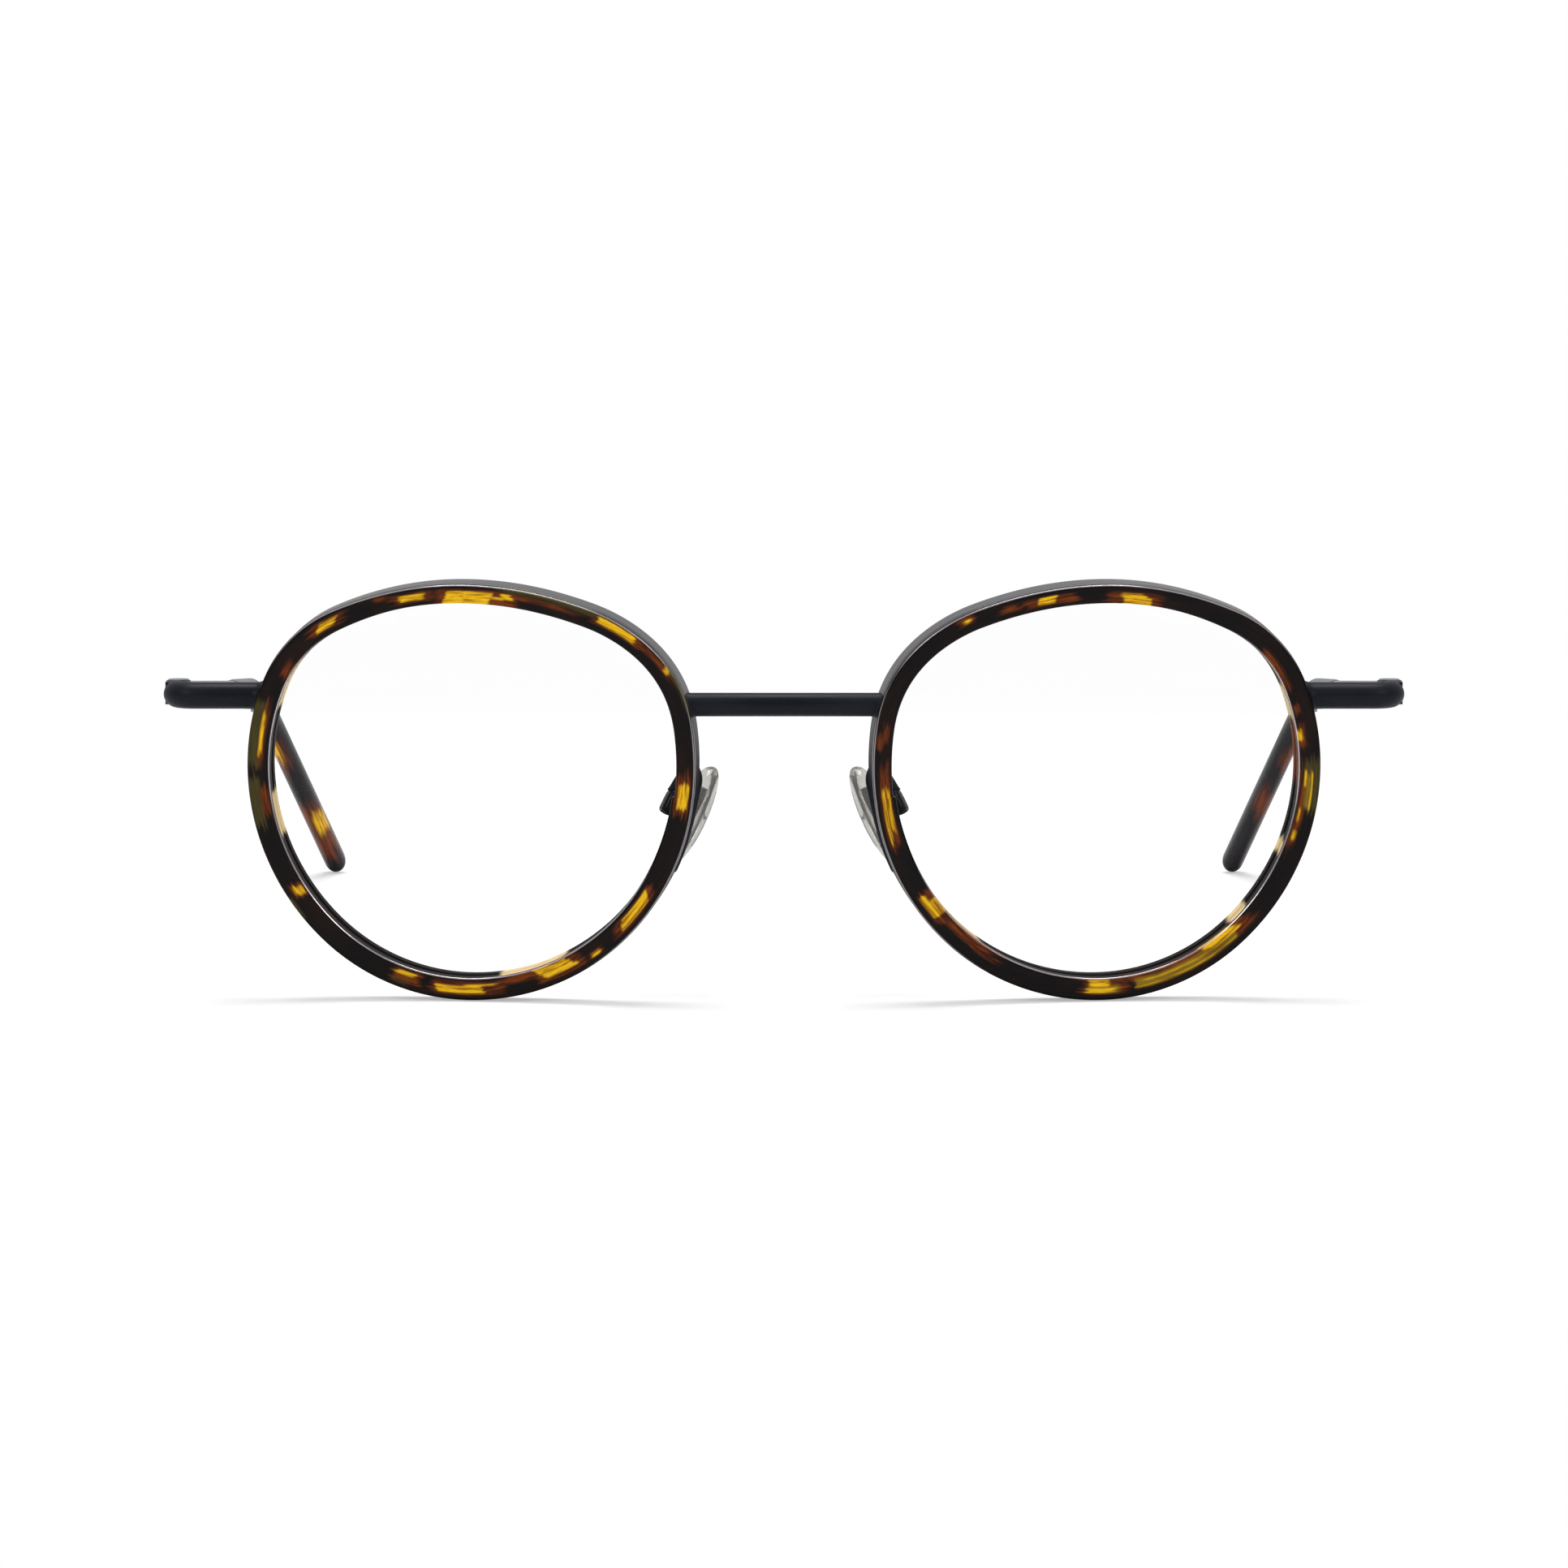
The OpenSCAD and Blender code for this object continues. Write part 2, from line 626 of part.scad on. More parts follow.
// The pad's outline is an egg, narrower at its top, and its nose side is domed
pad_sides = 20;
pad_drop = 0.4;
function egg(a) = let (narrow = 1 - 0.14 * sin(a))
    [pad_w / 2 * narrow * cos(a), pad_l / 2 * sin(a) - pad_drop];
function pad_ring(f, x) = [
    for (i = [0:pad_sides - 1]) let (p = egg(360 * i / pad_sides) + [0, pad_drop])
        [x, f * p.x, f * p.y - pad_drop]
];
pad_rows = [[0.5, 0], [0.86, 0.06], [0.97, 0.22], [1, 0.45], [0.94, 0.72], [0.78, 0.9], [0.45, 0.99]];

module nose_pad() {
    color(silicone, 0.7) in_pad() difference() {
        skin([for (row = pad_rows) pad_ring(row[0], -pad_off - row[1] * pad_t)]);
        translate([-plate_x - plate_t - seat_gap, -plate_w / 2 - seat_gap, -plate_l / 2 - seat_gap])
            cube([plate_t + 2 * seat_gap, plate_w + 2 * seat_gap, plate_l + 2 * seat_gap]);
        translate([-plate_x - seat_gap, -lug_t / 2 - seat_gap, -lug_r - seat_gap])
            cube([plate_x, lug_t + 2 * seat_gap, 2 * (lug_r + seat_gap)]);
    }
}

// ---- Pad arm ----------------------------------------------------------------------------------
// The wire's foot lies on the eyewire's rear edge. It climbs the edge on the nose side,
// leaves it, hooks over behind the rim and comes down on the pad box.
arm_sides = 8;
arm_steps = 4;
arm_stub_l = 0.3;
foot_v = -8.8;
behind_n = rim_d + arm_d / 2 + seat_gap;
arm_on_rim = [
    for (p = [[0, -0.4, 0], [2.6, -0.45, 0], [5.6, -0.5, 0.1], [8.2, -0.45, 0.7],
        [10, -0.4, 1.5], [11, -1.2, 2.9]])
        to_world(rim_point(inner_side_st(foot_v + p[0]), rim_out + p[1], behind_n + p[2]))
];
arm_end_x = box_x + box_back - arm_d / 2;
arm_seat_z = box_h / 2 + seat_gap / 2;
arm_near_box = [
    for (p = [[0, -0.9, 2.8], [0, 0, 1.3], [0, 0, arm_stub_l]])
        pad_to_world([arm_end_x, 0, arm_seat_z] + p)
];
arm_points = concat(arm_on_rim, arm_near_box);

// Smooth curve through the points, arm_steps pieces between two of them, and then the
// straight stub that meets the box squarely
function spline(p0, p1, p2, p3, t) = 0.5 * (2 * p1 + (p2 - p0) * t
    + (2 * p0 - 5 * p1 + 4 * p2 - p3) * t * t + (3 * p1 - p0 - 3 * p2 + p3) * t * t * t);
arm_line = let (q = arm_points, last = len(arm_points) - 1) concat([
    for (i = [0:last - 1]) for (j = [0:arm_steps - 1])
        spline(q[max(i - 1, 0)], q[i], q[i + 1], q[min(i + 2, last)], j / arm_steps)
], [q[last], pad_to_world([arm_end_x, 0, arm_seat_z])]);

function unit(v) = v / norm(v);
function along(line, i) = unit(line[min(i + 1, len(line) - 1)] - line[max(i - 1, 0)]);

// Side vector carried along the line so that the rings don't twist
function carried(line, i = 0, side = [0, 1, 0]) = i == len(line) ? [] : let (
    t = along(line, i), s = unit(side - (side * t) * t)
) concat([s], carried(line, i + 1, s));

module wire(line, d, sides) {
    side = carried(line);
    skin([
        for (i = [0:len(line) - 1]) let (s = side[i], c = cross(along(line, i), s)) [
            for (j = [0:sides - 1]) let (a = -360 * j / sides)
                line[i] + d / 2 * (cos(a) * s + sin(a) * c)
        ]
    ]);
}

module pad_arm() {
    color(metal) wire(arm_line, arm_d, arm_sides);
}

// ---- Assembly -----------------------------------------------------------------------------------
// The origin lies under the middle of the open glasses, from front to back
front_edge = min([for (st = stations) to_world(rim_point(st, rim_out - lip_chamfer, 0)).y]);
tip_far = line_at(tip_end);
rear_edge = hinge_y + cos(temple_in) * (tip_far.x * cos(slope) + tip_far.z * cos(bend_turn) * sin(slope))
    - sin(temple_in) * tip_far.z * sin(bend_turn);
centre_shift = -(front_edge + rear_edge) / 2;

module placed() {
    translate([0, centre_shift, 0]) children();
}

placed() bridge_bar();
placed() mirrored() eyewire();  // left_eyewire
placed() eyewire();  // right_eyewire
placed() mirrored() rim_ring();  // left_rim_ring
placed() rim_ring();  // right_rim_ring
placed() mirrored() lens();  // left_lens
placed() lens();  // right_lens
placed() mirrored() end_piece();  // left_end_piece
placed() end_piece();  // right_end_piece
placed() mirrored() rim_lock();  // left_rim_lock
placed() rim_lock();  // right_rim_lock
placed() mirrored() rim_lock_screw();  // left_rim_lock_screw
placed() rim_lock_screw();  // right_rim_lock_screw
placed() mirrored() front_knuckles();  // left_front_knuckles
placed() front_knuckles();  // right_front_knuckles
placed() mirrored() hinge_screw();  // left_hinge_screw
placed() hinge_screw();  // right_hinge_screw
placed() mirrored() pad_arm();  // left_pad_arm
placed() pad_arm();  // right_pad_arm
placed() mirrored() pad_box();  // left_pad_box
placed() pad_box();  // right_pad_box
placed() mirrored() pad_screw();  // left_pad_screw
placed() pad_screw();  // right_pad_screw
placed() mirrored() nose_pad();  // left_nose_pad
placed() nose_pad();  // right_nose_pad
placed() mirrored() pad_insert();  // left_pad_insert
placed() pad_insert();  // right_pad_insert
placed() mirrored() temple_bar();  // left_temple_bar
placed() temple_bar();  // right_temple_bar
placed() mirrored() temple_knuckle();  // left_temple_knuckle
placed() temple_knuckle();  // right_temple_knuckle
placed() mirrored() temple_tip();  // left_temple_tip
placed() temple_tip();  // right_temple_tip
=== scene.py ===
import math

import bpy
import numpy as np
from mathutils import Matrix, Vector, noise


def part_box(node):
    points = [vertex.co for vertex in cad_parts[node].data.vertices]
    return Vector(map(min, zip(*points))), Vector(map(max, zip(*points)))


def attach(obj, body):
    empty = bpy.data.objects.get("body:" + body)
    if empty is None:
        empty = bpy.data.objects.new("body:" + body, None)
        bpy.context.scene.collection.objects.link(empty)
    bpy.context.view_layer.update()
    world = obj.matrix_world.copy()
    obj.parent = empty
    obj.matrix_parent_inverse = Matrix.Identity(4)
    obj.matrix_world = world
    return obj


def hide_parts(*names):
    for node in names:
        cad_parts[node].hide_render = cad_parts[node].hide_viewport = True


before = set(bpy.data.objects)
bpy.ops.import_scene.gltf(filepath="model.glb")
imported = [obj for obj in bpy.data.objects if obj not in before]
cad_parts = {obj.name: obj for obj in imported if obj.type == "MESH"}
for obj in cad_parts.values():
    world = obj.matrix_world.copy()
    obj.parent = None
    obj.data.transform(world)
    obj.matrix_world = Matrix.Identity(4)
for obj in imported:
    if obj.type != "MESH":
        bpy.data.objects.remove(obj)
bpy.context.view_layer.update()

MM = 0.001
SIDES = (("left", -1), ("right", 1))


# ---- Sizes of the solids, in millimetres -------------------------------------------------------
LENS_W, LENS_H, LENS_T = 47.3, 44.0, 1.6
BASE_R = 118.0
APEX, NADIR = 0.7, 0.4  # highest and lowest point of the lens, toward the temple
OUTER_TURNS, INNER_TURNS, CROWN_STEP = (66, 20, -46), (69, 12, -40), 22.0
BRIDGE_W = 23.0
LIP, RIM_OUT, LIP_T = 0.45, 1.7, 1.0
WIRE_D, WIRE_T = 3.2, 0.45
RIM_D, RING_D = LIP_T + WIRE_D, LIP_T + WIRE_D - 0.4
GROOVE_N, BEVEL_H = LIP_T + 0.9, 0.55
WRAP, LEAN = math.radians(7.0), math.radians(5.0)
BRIDGE_D, BRIDGE_RISE = 2.65, 10.1
END_D, END_RISE = 3.0, 10.1
HINGE_SPAN, ELBOW_R, LEG_L = 136.8, 2.2, 0.6
KNUCKLE_R, WEB_L, BLOCK_L = 1.35, 0.35, 1.0
TEMPLE_D, STRAIGHT_L = 2.4, 95.0
BEND_R, BEND_A, DROP_L = 28.0, math.radians(36.0), 30.8
BEND_TURN, TEMPLE_IN = math.radians(19.0), math.radians(1.9)
TIP_START, CORE_D, TIP_W, TIP_H = 68.0, 1.5, 2.7, 3.5
CORE_SHORT = 6.0
PAD_L, PAD_W, PAD_T = 12.5, 6.5, 2.1
PAD_AT = np.array([12.5, 11.0, 21.5])
PAD_FRONTAL, PAD_SPLAY = math.radians(27.0), math.radians(16.0)
PAD_OFF, PAD_DROP = 1.35, 0.4
BOX_H, BOX_REACH = 2.8, 1.2
ARM_D, ARM_FOOT = 1.1, -8.8
GAP = 0.05


def smoothstep(x):
    x = np.clip(x, 0, 1)
    return x * x * (3 - 2 * x)


# ---- Outline of a lens -------------------------------------------------------------------------
def direction(deg):
    a = np.radians(deg)
    return np.stack([np.cos(a), np.sin(a)], -1)


def half_arcs(w, drift, turns):
    """Crown, corner, side and lower arc of one half: (centre, radius, first and last angle).

    The radius falls by a, b and c from arc to arc; b and c close the half in width and height.
    """
    a, pt, ps, pb = CROWN_STEP, *np.radians([turns[0], turns[1], 90 + turns[2]])
    m11, m12 = math.cos(ps), math.sin(pb)
    m21, m22 = 1 - math.sin(ps), 2 * math.sin(pb) - 1 + math.cos(pb)
    k1 = drift - a * math.cos(pt)
    k2 = LENS_H - 2 * (w - drift) - a * (1 - math.sin(pt))
    det = m11 * m22 - m12 * m21
    b, c = (k1 * m22 - k2 * m12) / det, (m11 * k2 - m21 * k1) / det
    r_side = w - drift + c * math.sin(pb)
    crown = np.array([0, LENS_H / 2 - (r_side + a + b)])
    corner = crown + a * direction(turns[0])
    side = corner + b * direction(turns[1])
    low = side + c * direction(turns[2])
    return [
        (crown, r_side + a + b, 90, turns[0]),
        (corner, r_side + b, turns[0], turns[1]),
        (side, r_side, turns[1], turns[2]),
        (low, r_side - c, turns[2], -90),
    ]


OUTER = [(c + [APEX, 0], r, a0, a1)
         for c, r, a0, a1 in half_arcs(LENS_W / 2 - APEX, NADIR - APEX, OUTER_TURNS)]
INNER = [(np.array([APEX - c[0], c[1]]), r, 180 - a0, 180 - a1)
         for c, r, a0, a1 in half_arcs(LENS_W / 2 + APEX, APEX - NADIR, INNER_TURNS)]


def bump_at(x, mid, half, soft):
    return smoothstep((half - np.abs(x - mid)) / soft + 0.5)


def swell(turn, mid, width):
    return np.exp(-((turn - mid) / width) ** 2)


def fuller(line):
    """Outward shift of the drawn line: fuller at the nose's top corner, slimmer at the temple's.

    The angle runs from the nose over the top to the temple.
    """
    turn = np.degrees(np.arctan2(line[:, 1], -line[:, 0])) % 360
    return (0.5 * swell(turn, 30.0, 17.0) - 0.16 * swell(turn, 135.0, 26.0))[:, None]


def outline(step):
    """Points of the lens line and their outward normals, clockwise, about one per step mm."""
    line, normal = [], []
    runs = [(a, 1) for a in OUTER] + [(a, -1) for a in reversed(INNER)]
    for (centre, radius, first, last), way in runs:
        if way < 0:
            first, last = last, first
        count = max(4, round(abs(math.radians(last - first)) * radius / step))
        d = direction(first + (last - first) * np.arange(count) / count)
        line.append(centre + radius * d)
        normal.append(d)
    line, normal = np.vstack(line), np.vstack(normal)
    return line + fuller(line) * normal, normal


def sag(p):
    return BASE_R - np.sqrt(BASE_R ** 2 - p[..., 0] ** 2 - p[..., 1] ** 2)


BEVEL_N = GROOVE_N + float(sag(np.array([LENS_W / 2, 0])))
RIM_CX = BRIDGE_W / 2 + LENS_W / 2 * math.cos(WRAP) + BEVEL_N * math.sin(WRAP)


def turned(u, v, n):
    x = u * math.cos(WRAP) - n * math.sin(WRAP)
    y = u * math.sin(WRAP) + n * math.cos(WRAP)
    return np.stack([RIM_CX + x, y * math.cos(LEAN) - v * math.sin(LEAN),
                     y * math.sin(LEAN) + v * math.cos(LEAN)], -1)


# The front stands on the table, and the solid ring gives its place from front to back
EDGE_ROUND = 0.35
ring_low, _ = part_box("right_rim_ring")
rim_line, rim_normal = outline(0.15)
probe = np.vstack([turned(*(rim_line + RIM_OUT * rim_normal).T, n + sag(rim_line))
                   for n in (EDGE_ROUND, RIM_D)])
RIM_CZ = -probe[:, 2].min()
front_line = rim_line + (RIM_OUT - EDGE_ROUND) * rim_normal
CY = ring_low.y / MM - turned(*front_line.T, sag(rim_line))[:, 1].min()


def rim_world(line, normal, r, n):
    p = line + r * normal
    return turned(p[..., 0], p[..., 1], n + sag(line)) + [0, CY, RIM_CZ]


def rim_local(p):
    """World point to the rim's frame: u toward the temple, n back, v up."""
    q = p - [RIM_CX, CY, RIM_CZ]
    y = q[..., 1] * math.cos(LEAN) + q[..., 2] * math.sin(LEAN)
    v = -q[..., 1] * math.sin(LEAN) + q[..., 2] * math.cos(LEAN)
    u = q[..., 0] * math.cos(WRAP) + y * math.sin(WRAP)
    n = -q[..., 0] * math.sin(WRAP) + y * math.cos(WRAP)
    return u, n, v


# ---- Mesh making -------------------------------------------------------------------------------
def rounded(corners):
    """Closed profile with its corners rounded: corners are (r, n, radius)."""
    out = []
    count = len(corners)
    for i, (r, n, radius) in enumerate(corners):
        p = np.array([r, n])
        a = np.array(corners[i - 1][:2]) - p
        b = np.array(corners[(i + 1) % count][:2]) - p
        la, lb = np.linalg.norm(a), np.linalg.norm(b)
        a, b = a / la, b / lb
        half = math.acos(float(np.clip(a @ b, -1, 1))) / 2
        cut = min(radius / math.tan(half), 0.48 * la, 0.48 * lb)
        if cut < 0.01:
            out.append(p)
            continue
        radius = cut * math.tan(half)
        mid = (a + b) / np.linalg.norm(a + b)
        centre = p + mid * radius / math.sin(half)
        start, end = p + a * cut - centre, p + b * cut - centre
        steps = 5 if radius < 0.2 else 8
        turn = math.atan2(start[0] * end[1] - start[1] * end[0], float(start @ end))
        for k in range(steps + 1):
            t = turn * k / steps
            c, s = math.cos(t), math.sin(t)
            out.append(centre + [c * start[0] - s * start[1], s * start[0] + c * start[1]])
    return np.array(out)


def filled(profile, step):
    """The same closed profile with its long sides cut into steps."""
    out = []
    for a, b in zip(profile, np.roll(profile, -1, 0)):
        parts = max(1, round(np.linalg.norm(b - a) / step))
        out += [a + (b - a) * k / parts for k in range(parts)]
    return np.array(out)


def grid_faces(rows, cols, loop_rows):
    faces = []
    for i in range(rows if loop_rows else rows - 1):
        a, b = i * cols, ((i + 1) % rows) * cols
        for j in range(cols):
            k = (j + 1) % cols
            faces.append((a + j, b + j, b + k, a + k))
    return faces


def skin(name, rings, body, material, stands_for, side=1, loop_rows=False,
         values=None):
    """Smooth piece over rings (rows, cols, 3) in mm; side -1 mirrors it to the other side.

    values holds grids of numbers or vectors, one for each point of the rings.
    """
    rings = np.array(rings, float)
    rows, cols = rings.shape[:2]
    verts = rings.reshape(-1, 3) * [side, 1, 1]
    faces = grid_faces(rows, cols, loop_rows)
    if not loop_rows:
        first = list(range(cols))
        last = [(rows - 1) * cols + j for j in range(cols)]
        faces += [tuple(first), tuple(last[::-1])]
    quads = np.array([f for f in faces if len(f) == 4])
    a, b, c, d = (verts[quads[:, k]] - verts.mean(0) for k in range(4))
    volume = (a * np.cross(b, c)).sum() + (a * np.cross(c, d)).sum()
    if volume < 0:
        faces = [f[::-1] for f in faces]

    mesh = bpy.data.meshes.new(name)
    mesh.from_pydata((verts * MM).tolist(), [], faces)
    mesh.polygons.foreach_set("use_smooth", [True] * len(mesh.polygons))
    for key, data in (values or {}).items():
        data = np.asarray(data, np.float32)
        kind, field = ("FLOAT_VECTOR", "vector") if data.ndim == 3 else ("FLOAT", "value")
        mesh.attributes.new(key, kind, "POINT").data.foreach_set(field, data.ravel())
    mesh.materials.append(material)
    mesh.update()
    piece = bpy.data.objects.new(name, mesh)
    bpy.context.scene.collection.objects.link(piece)
    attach(piece, body)
    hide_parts(*stands_for)


def carried(line):
    """Two side vectors along a line, without twist."""
    tangent = np.gradient(line, axis=0)
    tangent /= np.linalg.norm(tangent, axis=1)[:, None]
    side = np.array([0.0, 1.0, 0.0]) if abs(tangent[0][1]) < 0.9 else np.array([1.0, 0, 0])
    sides = []
    for t in tangent:
        side = side - (side @ t) * t
        side = side / np.linalg.norm(side)
        sides.append(side)
    sides = np.array(sides)
    return sides, np.cross(tangent, sides)


def tube(line, radii, count):
    """Rings round a line, with one radius for each point."""
    s, c = carried(line)
    a = 2 * np.pi * np.arange(count) / count
    return (line[:, None] + radii[:, None, None]
            * (np.cos(a)[None, :, None] * s[:, None] - np.sin(a)[None, :, None] * c[:, None]))


# ---- Materials ---------------------------------------------------------------------------------
class Tree:
    """Short hand for building a node tree."""

    def __init__(self, tree):
        self.tree = tree

    def put(self, node, key, value):
        socket = node.inputs[key]
        if isinstance(value, bpy.types.NodeSocket):
            self.tree.links.new(value, socket)
        else:
            socket.default_value = value

    def add(self, kind, **inputs):
        node = self.tree.nodes.new(kind)
        for key, value in inputs.items():
            self.put(node, key.replace("_", " "), value)
        return node

    def ramp(self, value, low, high, out_low=0.0, out_high=1.0, kind="SMOOTHSTEP"):
        node = self.add("ShaderNodeMapRange", Value=value, From_Min=low, From_Max=high,
                        To_Min=out_low, To_Max=out_high)
        node.interpolation_type = kind
        return node.outputs["Result"]

    def math(self, kind, a, b):
        node = self.add("ShaderNodeMath")
        node.operation = kind
        self.put(node, 0, a)
        self.put(node, 1, b)
        return node.outputs[0]

    def pair(self, kind, a, b, **inputs):
        """Mix or sum of two shaders."""
        node = self.add(kind, **inputs)
        first = 1 if inputs else 0
        self.put(node, first, a)
        self.put(node, first + 1, b)
        return node.outputs[0]


class Material(Tree):
    """Tree of a new material, round its Principled shader."""

    def __init__(self, name):
        self.material = bpy.data.materials.new(name)
        self.material.use_nodes = True
        super().__init__(self.material.node_tree)
        self.shader = self.tree.nodes["Principled BSDF"]

    def value(self, attribute, output="Fac"):
        node = self.add("ShaderNodeAttribute")
        node.attribute_name = attribute
        return node.outputs[output]

    def coords(self, scale=(1, 1, 1), attribute=None):
        if attribute:
            out = self.value(attribute, "Vector")
        else:
            out = self.add("ShaderNodeTexCoord").outputs["Object"]
        return self.add("ShaderNodeMapping", Vector=out, Scale=scale).outputs["Vector"]

    def noise(self, vector, scale, detail=3.0, roughness=0.55, distortion=0.0):
        node = self.add("ShaderNodeTexNoise", Vector=vector, Scale=scale, Detail=detail,
                        Roughness=roughness, Distortion=distortion)
        return node.outputs["Fac"]

    def mix(self, factor, a, b):
        node = self.add("ShaderNodeMix")
        node.data_type = "RGBA"
        self.put(node, 0, factor)
        self.put(node, 6, a)
        self.put(node, 7, b)
        return node.outputs[2]

    def bump(self, height, strength, distance):
        node = self.add("ShaderNodeBump", Height=height, Strength=strength, Distance=distance)
        self.put(self.shader, "Normal", node.outputs["Normal"])

    def set(self, **inputs):
        for key, value in inputs.items():
            self.put(self.shader, key.replace("_", " "), value)
        return self.material


def painted_metal(name, base, tint, rough, level, coat=None):
    """Satin paint over metal: fine orange peel, and a paler bloom in patches.

    coat names the value of the piece that says where the paint also has a clear coat.
    """
    n = Material(name)
    place = n.coords()
    bloom = n.noise(place, 90.0, 4.0)
    colour = n.mix(n.ramp(bloom, 0.3, 0.75), base, tint)
    n.bump(n.noise(place, 2600.0, 2.0), 0.12, 0.0001)
    coat = n.math("MULTIPLY", n.value(coat), 0.9) if coat else 0.0
    roughness = n.ramp(bloom, 0.25, 0.75, rough - 0.05, rough + 0.06)
    return n.set(Base_Color=colour, Roughness=roughness, Metallic=0.0, Specular_IOR_Level=level,
                 Coat_Weight=coat, Coat_Roughness=0.22, Coat_IOR=1.6)


def turned_steel(name, base, tint):
    """Steel with fine lines round its height, from the lathe."""
    n = Material(name)
    brush = n.noise(n.coords((1, 1, 6)), 1400.0, 3.0)
    colour = n.mix(n.ramp(brush, 0.3, 0.7), base, tint)
    n.bump(brush, 0.1, 0.00008)
    return n.set(Base_Color=colour, Metallic=0.85, Roughness=n.ramp(brush, 0.3, 0.7, 0.28, 0.42))


BROWN, ORANGE = (0.020, 0.010, 0.006, 1), (0.20, 0.040, 0.004, 1)
OLIVE, GOLD = (0.062, 0.050, 0.014, 1), (0.26, 0.165, 0.010, 1)
AMBER_DEEP, AMBER_LIGHT = (0.32, 0.115, 0.003, 1), (0.97, 0.56, 0.010, 1)
# The second colour on the next line is a painted highlight: the pale tone of the bright lines
# along the rings' edges
CREAM, HIGHLIGHT_TINT = (0.86, 0.66, 0.36, 1), (0.90, 0.82, 0.86, 1)


def tortoiseshell(name, darkest, dark_tint):
    """Dark acetate with amber, orange and olive clouds laid by the piece's own values."""
    n = Material(name)
    run = n.coords((0.13, 2.2, 2.2), "shell_uv")
    streak = n.noise(run, 1.7, 4.0, 0.6, 0.15)
    fine = n.noise(run, 5.5, 3.0, 0.6)
    patches = n.noise(n.coords((0.12, 0.5, 0.5), "shell_uv"), 1.0, 3.0)

    def cloud(value, grain, low, high, least):
        """Strength of one kind of cloud, broken up by the grain down to its least share."""
        return n.math("MULTIPLY", n.value(value), n.ramp(grain, low, high, least, 1.0))

    colour = n.mix(n.ramp(patches, 0.38, 0.72), darkest, dark_tint)
    colour = n.mix(n.ramp(streak, 0.55, 0.8, 0.0, 0.6), colour, BROWN)
    colour = n.mix(cloud("olive", streak, 0.2, 0.6, 0.35), colour, OLIVE)
    colour = n.mix(cloud("orange", streak, 0.36, 0.62, 0.2), colour, ORANGE)
    colour = n.mix(cloud("gold", streak, 0.3, 0.6, 0.5), colour, GOLD)
    amber = n.mix(n.ramp(streak, 0.34, 0.56), AMBER_DEEP, AMBER_LIGHT)
    colour = n.mix(cloud("amber", fine, 0.25, 0.5, 0.45), colour, amber)
    colour = n.mix(n.value("cream"), colour, CREAM)
    # Painted highlight: on the edge lines the colour turns pale and the surface metallic, so they
    # shine white
    highlight_share = cloud("highlight_paint", fine, 0.2, 0.5, 0.8)
    colour = n.mix(highlight_share, colour, HIGHLIGHT_TINT)
    n.bump(n.noise(run, 7.0, 2.0), 0.03, 0.0001)
    roughness = n.math("ADD", n.ramp(fine, 0.3, 0.7, 0.12, 0.18),
                       n.math("MULTIPLY", n.value("wall"), 0.4))
    return n.set(Base_Color=colour, Roughness=roughness, Metallic=highlight_share,
                 Specular_IOR_Level=0.10, IOR=1.49)


def lens_glass(name):
    """Clear pane: nearly all light passes, and a faint sheet of reflection stays."""
    n = Material(name)
    haze = n.noise(n.coords(), 60.0, 3.0)
    colour = n.mix(n.ramp(haze, 0.3, 0.7), (0.20, 0.22, 0.26, 1), (0.26, 0.28, 0.30, 1))
    n.bump(n.noise(n.coords(), 25.0, 1.0), 0.02, 0.0001)
    return n.set(Base_Color=colour, Metallic=1.0, Alpha=0.008,
                 Roughness=n.ramp(haze, 0.4, 0.7, 0.02, 0.05))


def silicone(name):
    """Clear soft silicone with a faint mist."""
    n = Material(name)
    mist = n.noise(n.coords(), 120.0, 2.0)
    colour = n.mix(n.ramp(mist, 0.3, 0.7), (0.58, 0.57, 0.53, 1), (0.64, 0.63, 0.59, 1))
    return n.set(Base_Color=colour, Transmission_Weight=0.82, IOR=1.41,
                 Roughness=n.ramp(mist, 0.3, 0.7, 0.05, 0.07))


navy = painted_metal(
    "navy_paint", (0.0060, 0.0078, 0.0125, 1), (0.0100, 0.0122, 0.0180, 1), 0.42, 0.12)
band = painted_metal(
    "band_paint", (0.020, 0.020, 0.026, 1), (0.032, 0.031, 0.040, 1), 0.36, 0.0, "sky")
rod_paint = painted_metal(
    "rod_paint", (0.010, 0.012, 0.018, 1), (0.015, 0.018, 0.026, 1), 0.34, 0.3, "sky")
black = painted_metal(
    "black_metal", (0.005, 0.005, 0.007, 1), (0.010, 0.010, 0.013, 1), 0.2, 0.12)
steel = turned_steel("turned_steel", (0.30, 0.31, 0.34, 1), (0.42, 0.43, 0.46, 1))
acetate = tortoiseshell(
    "tortoiseshell", (0.0042, 0.0032, 0.0034, 1), (0.0125, 0.0055, 0.0040, 1))
tip_acetate = tortoiseshell(
    "tip_tortoiseshell", (0.0085, 0.0078, 0.0110, 1), (0.0170, 0.0125, 0.0140, 1))
glass = lens_glass("lens_glass")
pad_silicone = silicone("pad_silicone")


